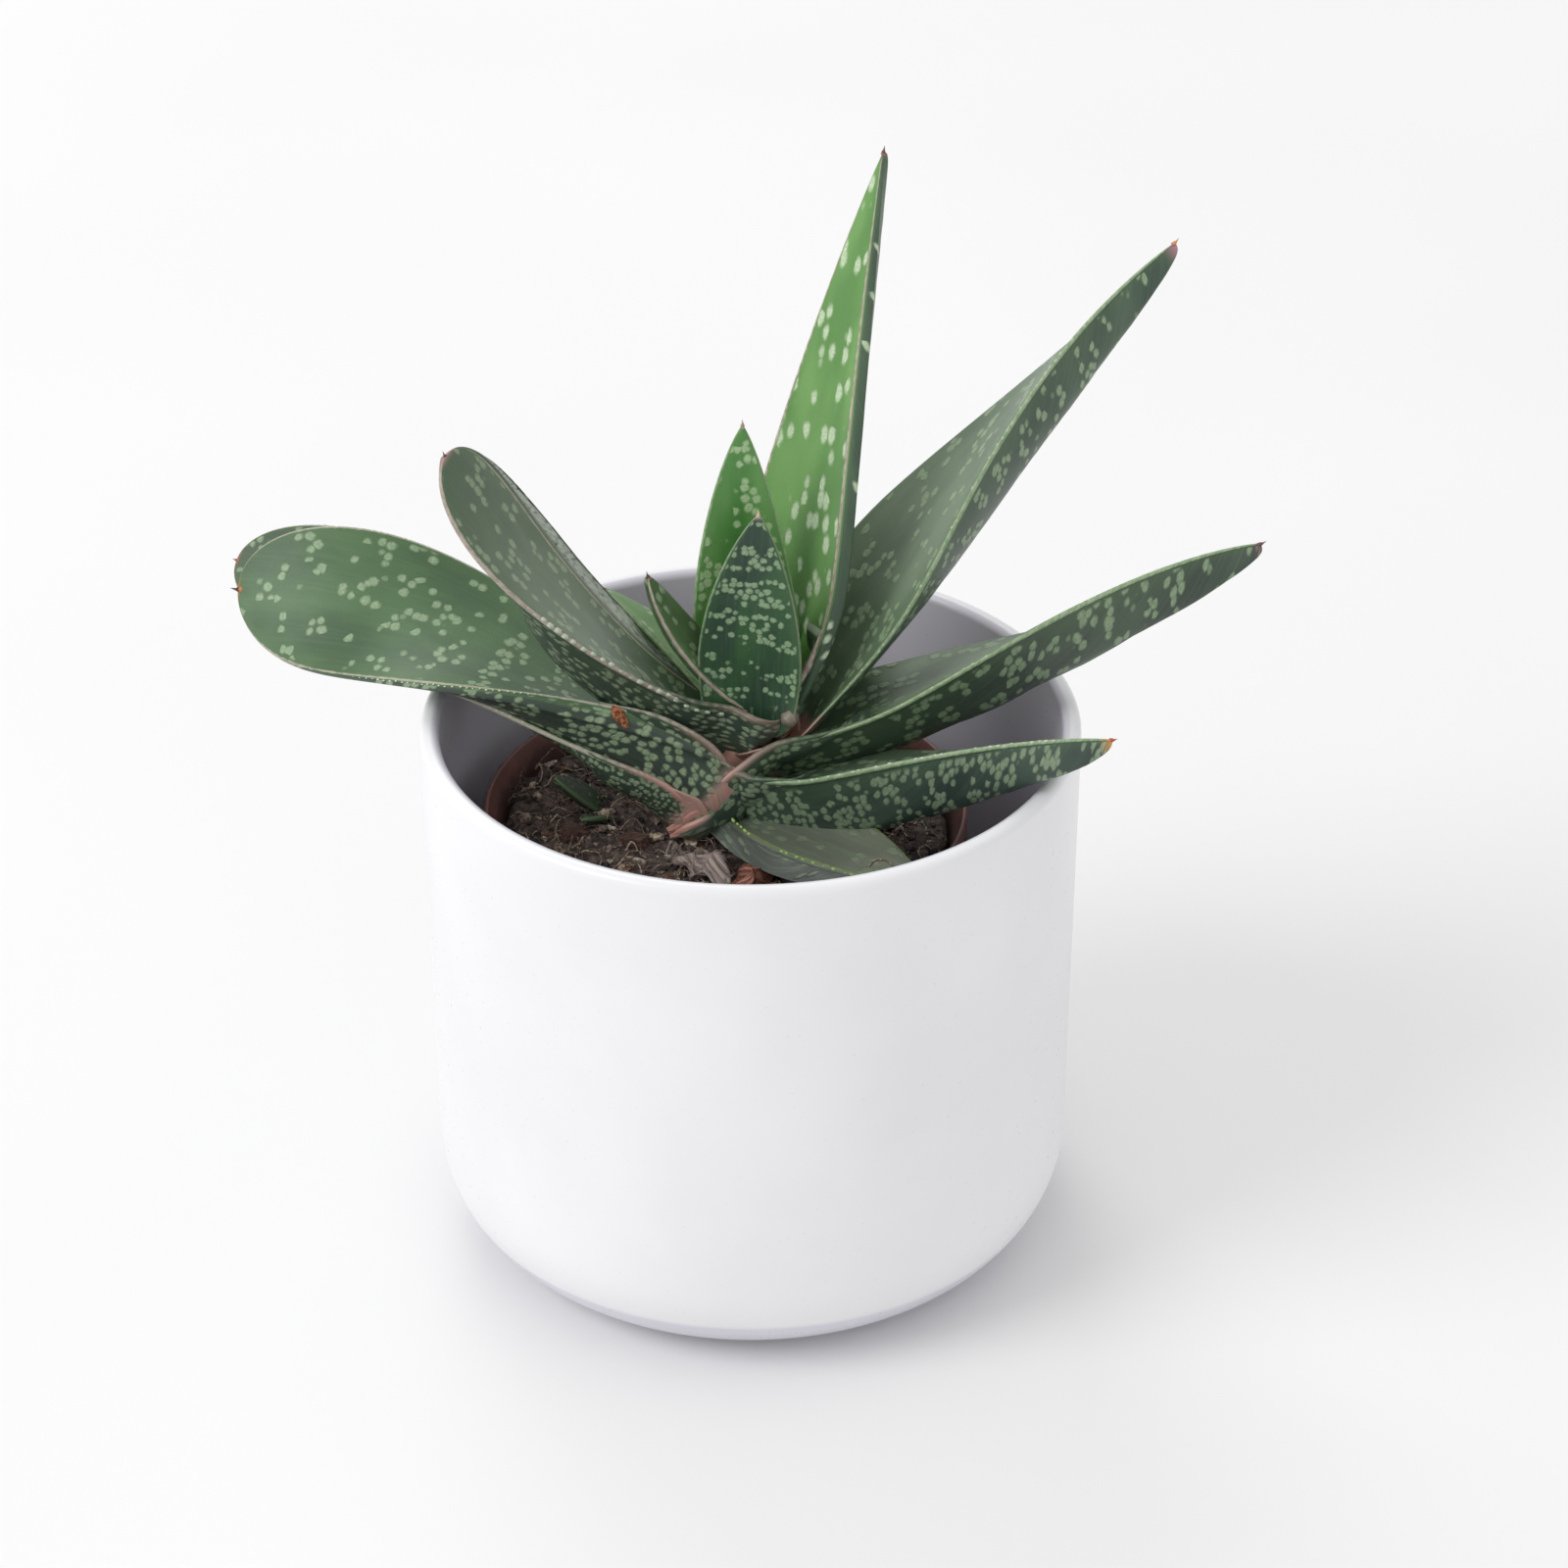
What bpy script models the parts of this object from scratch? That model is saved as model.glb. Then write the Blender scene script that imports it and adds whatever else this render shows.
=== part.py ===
"""A gasteria in a thin nursery pot that stands inside a white ceramic cachepot.

Metres, +Z up. The origin is the centre of the cachepot's flat base, and -Y is the front.
The plant's leaves come off a short leaning stem in two ranks, left (-X) and right (+X).
"""

import math

import bmesh
import bpy
from mathutils import Vector

MM = 0.001
GAP = 0.3 * MM

# Cachepot: a straight wall with a rounded foot.
CACHEPOT_RADIUS = 70 * MM
CACHEPOT_HEIGHT = 125 * MM
CACHEPOT_WALL = 4 * MM
CACHEPOT_FOOT_ROUND = 24 * MM
CACHEPOT_FLOOR = 6 * MM
CACHEPOT_RIM_ROUND = 1.9 * MM

# Nursery pot: a 10.5 cm thin plastic pot, a little off the cachepot's centre.
NURSERY_CENTRE = Vector((-5.5 * MM, 1 * MM, 0))
NURSERY_BOTTOM = CACHEPOT_FLOOR + GAP
NURSERY_TOP = 102.5 * MM
NURSERY_RIM_RADIUS = 52 * MM
NURSERY_RIM_BAND = 9 * MM
NURSERY_RIM_STEP = 1.2 * MM
NURSERY_BASE_RADIUS = 37 * MM
NURSERY_WALL = 1.1 * MM
DRAIN_HOLES = 6
DRAIN_HOLE_RADIUS = 4 * MM
DRAIN_CIRCLE_RADIUS = 24 * MM

# Soil fills the nursery pot to a little under its rim.
SOIL_TOP = 96.5 * MM
SOIL_BOTTOM = NURSERY_BOTTOM + NURSERY_WALL + GAP
SOIL_WAVE = 0.72 * MM
SOIL_HEAP = 3 * MM
SOIL_SHOULDER = 6 * MM

# Stem: it comes out of the soil left of the middle and leans to the right.
STEM_AXIS = [(-13, -2, 76), (-12, -1.5, 92), (-9, 0, 104), (-3, 2.5, 114), (3, 5, 121)]
STEM_RADII = [5.5, 7, 7.5, 6.5, 4]

# How far a cutter stands proud of the piece it makes room for.
CLEARANCE = 0.6 * MM

LEAF_RINGS = 14

# At its base a leaf's margins rise by CLASP mm, over this first share of its length.
CLASP = 6
CLASP_REACH = 0.3

# Leaves, youngest first. Each gives way to the ones before it where their bases meet.
# base: start of the leaf's midline in mm. heading: compass angle from +X towards +Y. rise:
# angle over the horizontal. turn, bend: how much heading and rise change to the tip.
# bank: twist of the upper face about the midline, at the base and at the tip.
# depth: from the upper face down to the keel. foot: base width as a share of the width.
# widest: where along the leaf it is widest. blunt: how full the tip's outline is.
LEAVES = {
    "leaf_heart_2": dict(base=(0, -2, 119), heading=16, turn=6, rise=92, bend=-8, length=54,
                         width=22, bank=(60, 74), depth=6, foot=0.75, widest=0.35, blunt=(1.7, 0.8)),
    "leaf_heart_1": dict(base=(1, 6, 118), heading=141, turn=-3, rise=82, bend=11, length=71,
                         width=23, bank=(-40, -45), depth=5, foot=0.75, widest=0.3, blunt=(1.5, 0.8)),
    "leaf_left_5": dict(base=(4, 4, 123), heading=186, turn=-1, rise=40, bend=27, length=43,
                        width=10, bank=(-22, -36), depth=5, foot=0.8, widest=0.4, blunt=(2, 0.7)),
    "leaf_left_4": dict(base=(3, 7, 114), heading=147, turn=12, rise=46, bend=-20, length=48,
                        width=11, bank=(-17, 21), depth=5, foot=0.8, widest=0.5, blunt=(2, 0.5)),
    "leaf_right_5": dict(base=(4, 7, 121), heading=54, turn=-4, rise=75, bend=-7, length=122,
                         width=32, bank=(-11, -17), depth=9, foot=0.6, widest=0.25, blunt=(1.3, 0.9)),
    "leaf_left_3": dict(base=(-2, 7, 118), heading=187, turn=1, rise=36, bend=25, length=92,
                        width=30, bank=(20, -33), depth=11, foot=0.6, widest=0.55, blunt=(3, 0.5)),
    "leaf_right_4": dict(base=(8, 6, 123), heading=26, turn=-18, rise=55, bend=-12, length=128,
                         width=32, bank=(23, -45), depth=13, foot=0.65, widest=0.35, blunt=(1.4, 0.9)),
    "leaf_right_3": dict(base=(2, 3, 117), heading=4, turn=-6, rise=22, bend=3, length=114,
                         width=26, bank=(14, -65), depth=12, foot=0.7, widest=0.4, blunt=(1.6, 0.8)),
    "leaf_left_2": dict(base=(-8, -3, 108), heading=160, turn=-2, rise=38, bend=-48, length=118,
                        width=37, bank=(40, -58), depth=8, foot=0.55, widest=0.6, blunt=(3, 0.5)),
    "leaf_right_2": dict(base=(-4, 1, 109), heading=-23, turn=-8, rise=18, bend=4, length=92,
                         width=25, bank=(-2, -40), depth=12, foot=0.7, widest=0.4, blunt=(1.6, 0.8)),
    "leaf_left_1": dict(base=(-14, -4, 103), heading=152, turn=-4, rise=38, bend=-46, length=123,
                        width=33, bank=(30, -41), depth=4.5, foot=0.6, widest=0.5, blunt=(3, 0.5)),
    "leaf_right_1": dict(base=(-7, -1, 104), heading=-46, turn=1, rise=7, bend=-6, length=62,
                         width=23, bank=(12, 14), depth=6, foot=0.7, widest=0.4, blunt=(1.6, 0.8)),
}

# A young offset at the left, the size of a fingertip, and two dead leaf remains on the soil.
SMALL_LEAVES = {
    "pup_leaf_1": dict(base=(-31, 10, 95), heading=200, turn=10, rise=48, bend=-10, length=17,
                       width=7, bank=(-20, -20), depth=2.4, foot=0.8, widest=0.4, blunt=(2, 0.7)),
    "pup_leaf_2": dict(base=(-28, 12, 95), heading=60, turn=0, rise=62, bend=-8, length=16,
                       width=6, bank=(0, 0), depth=2.2, foot=0.8, widest=0.4, blunt=(2, 0.7)),
    "pup_leaf_3": dict(base=(-31, 7, 95), heading=-110, turn=-10, rise=35, bend=-15, length=14,
                       width=6, bank=(10, 10), depth=2.2, foot=0.8, widest=0.4, blunt=(2, 0.7)),
    "dry_leaf_scrap": dict(base=(-14, -13, 98), heading=-70, turn=30, rise=20, bend=-25, length=15,
                           width=8, bank=(-15, 10), depth=1.4, foot=0.9, widest=0.5, blunt=(3, 0.6)),
    "old_leaf_stub": dict(base=(-6, -20, 95), heading=-20, turn=0, rise=35, bend=-15, length=11,
                          width=8, bank=(0, 0), depth=4, foot=0.9, widest=0.6, blunt=(4, 0.4)),
}

# Bark in the compost: centre in mm, size in mm, turn about Z and tilt, in degrees.
BARK_CHIPS = [
    ((-37, -4, 97.6), (9, 4, 3), 25, 18),
    ((-25, -8, 98.2), (8, 4.5, 3), -40, -15),
]
CHIP_TAPER = 0.7


def clear_scene():
    for obj in list(bpy.data.objects):
        bpy.data.objects.remove(obj, do_unlink=True)


def new_collection(name):
    collection = bpy.data.collections.new(name)
    bpy.context.scene.collection.children.link(collection)
    return collection


def finish_material(name, colour, roughness, metallic=0.0):
    material = bpy.data.materials.new(name)
    material.use_nodes = True
    shader = material.node_tree.nodes["Principled BSDF"]
    shader.inputs["Base Color"].default_value = (*colour, 1)
    shader.inputs["Roughness"].default_value = roughness
    shader.inputs["Metallic"].default_value = metallic
    return material


def add_object(name, mesh, collection, material=None):
    obj = bpy.data.objects.new(name, mesh)
    collection.objects.link(obj)
    if material:
        mesh.materials.append(material)
    return obj


def mesh_from(bm, name):
    """Closes the bmesh off as a mesh whose faces point out."""
    bmesh.ops.recalc_face_normals(bm, faces=bm.faces)
    mesh = bpy.data.meshes.new(name)
    bm.to_mesh(mesh)
    bm.free()
    mesh.shade_smooth()
    mesh.set_sharp_from_angle(angle=math.radians(40))
    return mesh


def hide_cutter(obj):
    obj.hide_render = True
    obj.display_type = "WIRE"


def arc(centre, radius, start, end, steps):
    """Points (x, z) along a round stretch of a turned profile, angles in degrees."""
    points = []
    for i in range(steps + 1):
        angle = math.radians(start + (end - start) * i / steps)
        points.append((centre[0] + radius * math.cos(angle), centre[1] + radius * math.sin(angle)))
    return points


def turned(name, profile, collection, material, steps=48):
    """A closed profile (x, z), outer side first from top to bottom, turned about Z."""
    bm = bmesh.new()
    points = [bm.verts.new((x, 0, z)) for x, z in profile]
    for start, end in zip(points, points[1:]):
        bm.edges.new((start, end))
    mesh = bpy.data.meshes.new(name)
    bm.to_mesh(mesh)
    bm.free()
    obj = add_object(name, mesh, collection, material)
    screw = obj.modifiers.new("turn", "SCREW")
    screw.steps = steps
    screw.render_steps = steps
    screw.use_merge_vertices = True
    screw.merge_threshold = 0.00001
    screw.use_smooth_shade = True
    return obj


def cut(obj, cutter, solver="EXACT"):
    """Takes the cutter out of the piece. The plant's and the litter's thin-edged pieces are cut
    with MANIFOLD, because EXACT leaves some of them empty."""
    boolean = obj.modifiers.new("room for " + cutter.name, "BOOLEAN")
    boolean.operation = "DIFFERENCE"
    boolean.solver = solver
    boolean.object = cutter


def keep_largest_body(obj):
    """Applies the cuts, then drops the loose crumbs that they leave beside the piece."""
    graph = bpy.context.evaluated_depsgraph_get()
    mesh = bpy.data.meshes.new_from_object(obj.evaluated_get(graph))
    bm = bmesh.new()
    bm.from_mesh(mesh)
    unseen = set(bm.verts)
    bodies = []
    while unseen:
        front = [unseen.pop()]
        body = set(front)
        while front:
            vert = front.pop()
            for edge in vert.link_edges:
                other = edge.other_vert(vert)
                if other in unseen:
                    unseen.remove(other)
                    body.add(other)
                    front.append(other)
        bodies.append(body)
    largest = max(bodies, key=len)
    crumbs = [vert for vert in bm.verts if vert not in largest]
    bmesh.ops.delete(bm, geom=crumbs, context="VERTS")
    bmesh.ops.triangulate(bm, faces=bm.faces)
    bm.to_mesh(mesh)
    bm.free()
    obj.modifiers.clear()
    obj.data = mesh


def section(half_width, depth, channel, lip, clasp):
    """A leaf's section as (across, up): a channelled upper face and a keel below.

    clasp lifts both margins, so that the leaf's base wraps the stem.
    """
    upper = [(1, lip), (0.8, lip - 0.45 * channel), (0.4, lip - 0.85 * channel), (0, lip - channel),
             (-0.4, lip - 0.85 * channel), (-0.8, lip - 0.45 * channel), (-1, lip)]
    lower = [(-1, -lip), (-0.75, -lip - 0.42 * depth), (-0.4, -lip - 0.78 * depth), (0, -lip - depth),
             (0.4, -lip - 0.78 * depth), (0.75, -lip - 0.42 * depth), (1, -lip)]
    return [(across * half_width, up + clasp * across ** 2) for across, up in upper + lower]


def grown(points, extra):
    """A closed outline that runs counterclockwise, moved outwards by extra on every side."""
    moved = []
    for k, point in enumerate(points):
        before = (Vector(point) - Vector(points[k - 1])).normalized()
        after = (Vector(points[(k + 1) % len(points)]) - Vector(point)).normalized()
        outward = Vector((before.y + after.y, -before.x - after.x)).normalized()
        spread = max(0.5, Vector((before.y, -before.x)).dot(outward))
        moved.append(Vector(point) + outward * extra / spread)
    return moved


def half_width_at(leaf, t):
    """Half the leaf's width at t, from 0 at the base to 1 at the tip."""
    half = leaf["width"] / 2
    if t < leaf["widest"]:
        swell = math.sin(math.pi / 2 * t / leaf["widest"])
        return half * (leaf["foot"] + (1 - leaf["foot"]) * swell)
    power, fullness = leaf["blunt"]
    past = (t - leaf["widest"]) / (1 - leaf["widest"])
    return half * (1 - past ** power) ** fullness


def leaf_frame(leaf, t):
    """The unit vectors along, across and up from the upper face at t."""
    heading = math.radians(leaf["heading"] + leaf["turn"] * t)
    rise = math.radians(leaf["rise"] + leaf["bend"] * t)
    bank = math.radians(leaf["bank"][0] + (leaf["bank"][1] - leaf["bank"][0]) * t)
    along = Vector((math.cos(heading) * math.cos(rise), math.sin(heading) * math.cos(rise), math.sin(rise)))
    level = Vector((math.sin(heading), -math.cos(heading), 0))
    back = -math.sin(rise)
    upright = Vector((math.cos(heading) * back, math.sin(heading) * back, math.cos(rise)))
    up = math.cos(bank) * upright + math.sin(bank) * level
    across = math.cos(bank) * level - math.sin(bank) * upright
    return along, across, up


def leaf_mesh(name, leaf, grow=0.0):
    """A loft of keeled sections along the midline, in metres. grow makes a cutter of it."""
    extra = grow / MM
    bm = bmesh.new()
    place = Vector(leaf["base"]) - leaf_frame(leaf, 0)[0] * extra
    length = leaf["length"] + 2 * extra
    rings = []
    for i in range(LEAF_RINGS):
        t = math.sin(math.pi / 2 * i / LEAF_RINGS)
        after = math.sin(math.pi / 2 * (i + 1) / LEAF_RINGS)
        _, across, up = leaf_frame(leaf, t)
        half = half_width_at(leaf, t)
        share = (half / (leaf["width"] / 2)) ** 0.4
        depth = leaf["depth"] * (1 - 0.4 * t ** 2) * share
        channel = 0.35 * depth * (1 - t) ** 1.5
        clasp = min(CLASP, leaf["width"] / 4) * max(0, 1 - t / CLASP_REACH) ** 2
        points = grown(section(half, depth, channel, 0.6 * share, clasp), extra)
        rings.append([bm.verts.new((place + across * s + up * u) * MM) for s, u in points])
        place = place + leaf_frame(leaf, (t + after) / 2)[0] * length * (after - t)
    tip = bm.verts.new(place * MM)
    count = len(rings[0])
    for ring, following in zip(rings, rings[1:]):
        for k in range(count):
            bm.faces.new((ring[k], ring[(k + 1) % count], following[(k + 1) % count], following[k]))
    for k in range(count):
        bm.faces.new((rings[-1][k], rings[-1][(k + 1) % count], tip))
    bm.faces.new(rings[0])
    return mesh_from(bm, name)


def stem_mesh(name, grow=0.0):
    """A round leaning stem with both ends closed."""
    bm = bmesh.new()
    sides = 20
    rings = []
    axis = [Vector(point) * MM for point in STEM_AXIS]
    for i, centre in enumerate(axis):
        along = (axis[min(i + 1, len(axis) - 1)] - axis[max(i - 1, 0)]).normalized()
        across = along.cross(Vector((0, 1, 0))).normalized()
        deep = across.cross(along)
        radius = STEM_RADII[i] * MM + grow
        ring = []
        for k in range(sides):
            angle = math.tau * k / sides
            ring.append(bm.verts.new(centre + radius * (math.cos(angle) * across + math.sin(angle) * deep)))
        rings.append(ring)
    lean = (axis[-1] - axis[-2]).normalized()
    for vert in rings[-1]:
        vert.co += lean * grow
    for vert in rings[0]:
        vert.co.z -= grow
    for ring, following in zip(rings, rings[1:]):
        for k in range(sides):
            bm.faces.new((ring[k], ring[(k + 1) % sides], following[(k + 1) % sides], following[k]))
    bm.faces.new(rings[0])
    bm.faces.new(rings[-1])
    return mesh_from(bm, name)


def build_cachepot(collection):
    outer, inner = CACHEPOT_RADIUS, CACHEPOT_RADIUS - CACHEPOT_WALL
    round_in = CACHEPOT_FOOT_ROUND - CACHEPOT_WALL
    lip = CACHEPOT_RIM_ROUND
    profile = [(0, CACHEPOT_FLOOR)]
    profile += arc((inner - round_in, CACHEPOT_FLOOR + round_in), round_in, -90, 0, 6)
    profile += arc((inner + lip, CACHEPOT_HEIGHT - lip), lip, 180, 90, 2)
    profile += arc((outer - lip, CACHEPOT_HEIGHT - lip), lip, 90, 0, 2)
    profile += arc((outer - CACHEPOT_FOOT_ROUND, CACHEPOT_FOOT_ROUND), CACHEPOT_FOOT_ROUND, 0, -90, 8)
    profile += [(0, 0)]
    material = finish_material("white_ceramic", (0.86, 0.86, 0.87), 0.35)
    return turned("cachepot", profile, collection, material)


def nursery_radius(z, inside=False):
    """The nursery pot's wall radius at height z, below its rim band."""
    rise = (z - NURSERY_BOTTOM) / (NURSERY_TOP - NURSERY_BOTTOM)
    top = NURSERY_RIM_RADIUS - NURSERY_RIM_STEP
    radius = NURSERY_BASE_RADIUS + (top - NURSERY_BASE_RADIUS) * rise
    return radius - NURSERY_WALL if inside else radius


def build_nursery_pot(collection, cutters):
    band = NURSERY_TOP - NURSERY_RIM_BAND
    floor = NURSERY_BOTTOM + NURSERY_WALL
    lip = NURSERY_RIM_STEP
    profile = [(0, floor), (nursery_radius(floor, True) - 2 * MM, floor),
               (nursery_radius(floor + 2 * MM, True), floor + 2 * MM), (nursery_radius(band, True), band),
               (NURSERY_RIM_RADIUS - NURSERY_WALL - lip / 2, NURSERY_TOP - lip),
               (NURSERY_RIM_RADIUS - NURSERY_WALL, NURSERY_TOP), (NURSERY_RIM_RADIUS, NURSERY_TOP),
               (NURSERY_RIM_RADIUS, band), (nursery_radius(band), band - 0.5 * MM),
               (nursery_radius(NURSERY_BOTTOM + 3 * MM), NURSERY_BOTTOM + 3 * MM),
               (NURSERY_BASE_RADIUS - 2 * MM, NURSERY_BOTTOM), (0, NURSERY_BOTTOM)]
    material = finish_material("brown_plastic", (0.18, 0.075, 0.055), 0.5)
    pot = turned("nursery_pot", profile, collection, material)
    pot.location = NURSERY_CENTRE
    for i in range(DRAIN_HOLES):
        angle = math.tau * i / DRAIN_HOLES
        spot = Vector((math.cos(angle), math.sin(angle), 0)) * DRAIN_CIRCLE_RADIUS
        bm = bmesh.new()
        bmesh.ops.create_cone(bm, cap_ends=True, segments=16, radius1=DRAIN_HOLE_RADIUS,
                              radius2=DRAIN_HOLE_RADIUS, depth=6 * NURSERY_WALL)
        drill = add_object(f"drain_drill_{i + 1}", mesh_from(bm, "drain_drill"), cutters)
        drill.location = NURSERY_CENTRE + spot + Vector((0, 0, floor))
        hide_cutter(drill)
        cut(pot, drill)
    return pot


def soil_height(x, y):
    """The soil's uneven top, in metres, heaped a little round the stem."""
    heap = SOIL_HEAP * math.exp(-((x / MM + 12) ** 2 + (y / MM + 2) ** 2) / 250)
    long_waves = math.sin(x / (6.1 * MM) + 0.7) * math.cos(y / (7.3 * MM))
    short_waves = 0.6 * math.sin((x + y) / (3.7 * MM))
    return SOIL_TOP + heap + SOIL_WAVE * (long_waves + short_waves)


def build_soil(collection):
    """A plug of compost with the pot's taper and an uneven top."""
    bm = bmesh.new()
    sides = 36
    levels = [SOIL_BOTTOM, SOIL_BOTTOM + 2.5 * MM, SOIL_TOP - SOIL_SHOULDER]
    rings = []
    for level in levels:
        radius = nursery_radius(max(level, SOIL_BOTTOM + 2 * MM), True) - GAP
        radius -= 2.5 * MM if level == SOIL_BOTTOM else 0
        rings.append((radius, level))
    top_radius = nursery_radius(SOIL_TOP - SOIL_SHOULDER, True) - GAP
    for share in (1.0, 0.86, 0.72, 0.58, 0.44, 0.3, 0.12):
        rings.append((top_radius * share, None))
    made = []
    for radius, level in rings:
        ring = []
        for k in range(sides):
            angle = math.tau * k / sides
            x = NURSERY_CENTRE.x + radius * math.cos(angle)
            y = NURSERY_CENTRE.y + radius * math.sin(angle)
            ring.append(bm.verts.new((x, y, soil_height(x, y) if level is None else level)))
        made.append(ring)
    for ring, following in zip(made, made[1:]):
        for k in range(sides):
            bm.faces.new((ring[k], ring[(k + 1) % sides], following[(k + 1) % sides], following[k]))
    bm.faces.new(made[0])
    bm.faces.new(made[-1])
    material = finish_material("compost", (0.03, 0.022, 0.018), 0.95)
    return add_object("soil", mesh_from(bm, "soil"), collection, material)


def build_plant(collection, cutters):
    """The stem and its leaves, each cut to leave room for the younger ones. Returns the cutter
    that is the stem's room, for the soil."""
    green = finish_material("leaf_green", (0.09, 0.2, 0.08), 0.4)
    pink = finish_material("stem_pink", (0.5, 0.32, 0.28), 0.5)
    add_object("stem", stem_mesh("stem"), collection, pink)
    stem_room = add_object("stem_room", stem_mesh("stem_room", CLEARANCE), cutters)
    hide_cutter(stem_room)
    rooms = []
    for name, leaf in LEAVES.items():
        obj = add_object(name, leaf_mesh(name, leaf), collection, green)
        cut(obj, stem_room, "MANIFOLD")
        for room in rooms:
            cut(obj, room, "MANIFOLD")
        keep_largest_body(obj)
        room = add_object(name + "_room", leaf_mesh(name + "_room", leaf, CLEARANCE), cutters)
        hide_cutter(room)
        rooms.append(room)
    return stem_room


def chip_mesh(name, size, grow=0.0):
    """A bevelled splinter of bark."""
    bm = bmesh.new()
    bmesh.ops.create_cube(bm, size=1)
    for vert in bm.verts:
        vert.co = Vector([vert.co[i] * (size[i] * MM + 2 * grow) for i in range(3)])
        vert.co.y *= CHIP_TAPER if vert.co.x > 0 else 1
    bmesh.ops.bevel(bm, geom=bm.edges[:], offset=0.7 * MM, segments=1, affect="EDGES")
    return mesh_from(bm, name)


def build_litter(collection, cutters, soil):
    """The young offset, the dead leaf remains and the bark, each let into the soil."""
    green = finish_material("pup_green", (0.06, 0.13, 0.05), 0.5)
    dry = finish_material("dry_leaf", (0.3, 0.25, 0.2), 0.8)
    bark = finish_material("bark", (0.16, 0.07, 0.04), 0.9)
    pieces = []
    for name, leaf in SMALL_LEAVES.items():
        material = green if name.startswith("pup") else dry
        obj = add_object(name, leaf_mesh(name, leaf), collection, material)
        room = add_object(name + "_room", leaf_mesh(name + "_room", leaf, CLEARANCE), cutters)
        pieces.append((obj, room))
    for i, (centre, size, turn, tilt) in enumerate(BARK_CHIPS):
        name = f"bark_chip_{i + 1}"
        obj = add_object(name, chip_mesh(name, size), collection, bark)
        room = add_object(name + "_room", chip_mesh(name + "_room", size, CLEARANCE), cutters)
        for piece in (obj, room):
            piece.location = Vector(centre) * MM
            piece.rotation_euler = (0, math.radians(tilt), math.radians(turn))
        pieces.append((obj, room))
    for i, (obj, room) in enumerate(pieces):
        hide_cutter(room)
        cut(soil, room, "MANIFOLD")
        for _, earlier in pieces[:i]:
            cut(obj, earlier, "MANIFOLD")
        keep_largest_body(obj)
    keep_largest_body(soil)


def main():
    clear_scene()
    plant = new_collection("potted_gasteria")
    cutters = new_collection("cutters")
    build_cachepot(plant)
    build_nursery_pot(plant, cutters)
    soil = build_soil(plant)
    stem_room = build_plant(plant, cutters)
    cut(soil, stem_room, "MANIFOLD")
    build_litter(plant, cutters, soil)


main()
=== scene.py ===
"""A gasteria in a nursery pot that stands in a white cachepot, with its full looks.

Metres, +Z up, and -Y is the front. The shapes repeat the CAD's formulas with finer steps, and
then add what the CAD leaves out: toothed leaf margins, sheathed leaf bases, grit and roots.
"""

import random
from math import cos, exp, hypot, pi, radians, sin, sqrt, tau

import bmesh
import bpy
from mathutils import Matrix, Vector
from mathutils.bvhtree import BVHTree
from mathutils.noise import noise


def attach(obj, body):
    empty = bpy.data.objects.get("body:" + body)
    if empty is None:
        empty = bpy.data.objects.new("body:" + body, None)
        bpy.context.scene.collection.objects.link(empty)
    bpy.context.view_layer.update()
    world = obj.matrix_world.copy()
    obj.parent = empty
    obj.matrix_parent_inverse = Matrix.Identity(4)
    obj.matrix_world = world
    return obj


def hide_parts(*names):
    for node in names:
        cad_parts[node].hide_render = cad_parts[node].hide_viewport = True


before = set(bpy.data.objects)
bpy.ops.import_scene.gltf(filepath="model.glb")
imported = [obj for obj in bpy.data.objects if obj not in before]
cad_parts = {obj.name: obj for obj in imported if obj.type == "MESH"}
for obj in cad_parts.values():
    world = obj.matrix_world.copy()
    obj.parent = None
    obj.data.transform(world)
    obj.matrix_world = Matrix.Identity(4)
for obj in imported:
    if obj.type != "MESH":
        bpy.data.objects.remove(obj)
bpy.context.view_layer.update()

MM = 0.001
UP = Vector((0, 0, 1))

# --- The CAD's own measures, in mm unless a name says otherwise

POT_RADIUS = 70
POT_HEIGHT = 125
POT_WALL = 4
POT_FOOT_ROUND = 24
POT_FLOOR = 6
POT_RIM_ROUND = 1.9

NURSERY_CENTRE = Vector((-5.5, 1, 0))
NURSERY_BOTTOM = 6.3
NURSERY_TOP = 102.5
NURSERY_RIM_RADIUS = 52
NURSERY_RIM_BAND = 9
NURSERY_RIM_STEP = 1.2
NURSERY_BASE_RADIUS = 37
NURSERY_WALL = 1.1

SOIL_TOP = 96.5
SOIL_SHOULDER = 6
SOIL_HEAP = 3.0
SOIL_WAVE = 0.72

STEM_AXIS = [(-13, -2, 76), (-12, -1.5, 92), (-9, 0, 104), (-3, 2.5, 114), (3, 5, 121)]
STEM_RADII = [5.5, 7, 7.5, 6.5, 4]

CLASP = 6
CLASP_REACH = 0.3

# A leaf's row: where it starts, its heading from +X and how much that turns, its rise and how much
# that bends, its length and width, how far its face is banked at the base and at the tip, its
# depth, its foot's share of the width, the share of the length where it is widest, and the power
# and the fullness of its blunt end. All angles are in degrees.
LEAF_KEYS = ("base", "heading", "turn", "rise", "bend", "length", "width", "bank", "depth", "foot",
             "widest", "blunt")


def rows(keys, table):
    return {name: dict(zip(keys, row)) for name, row in table.items()}


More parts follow.
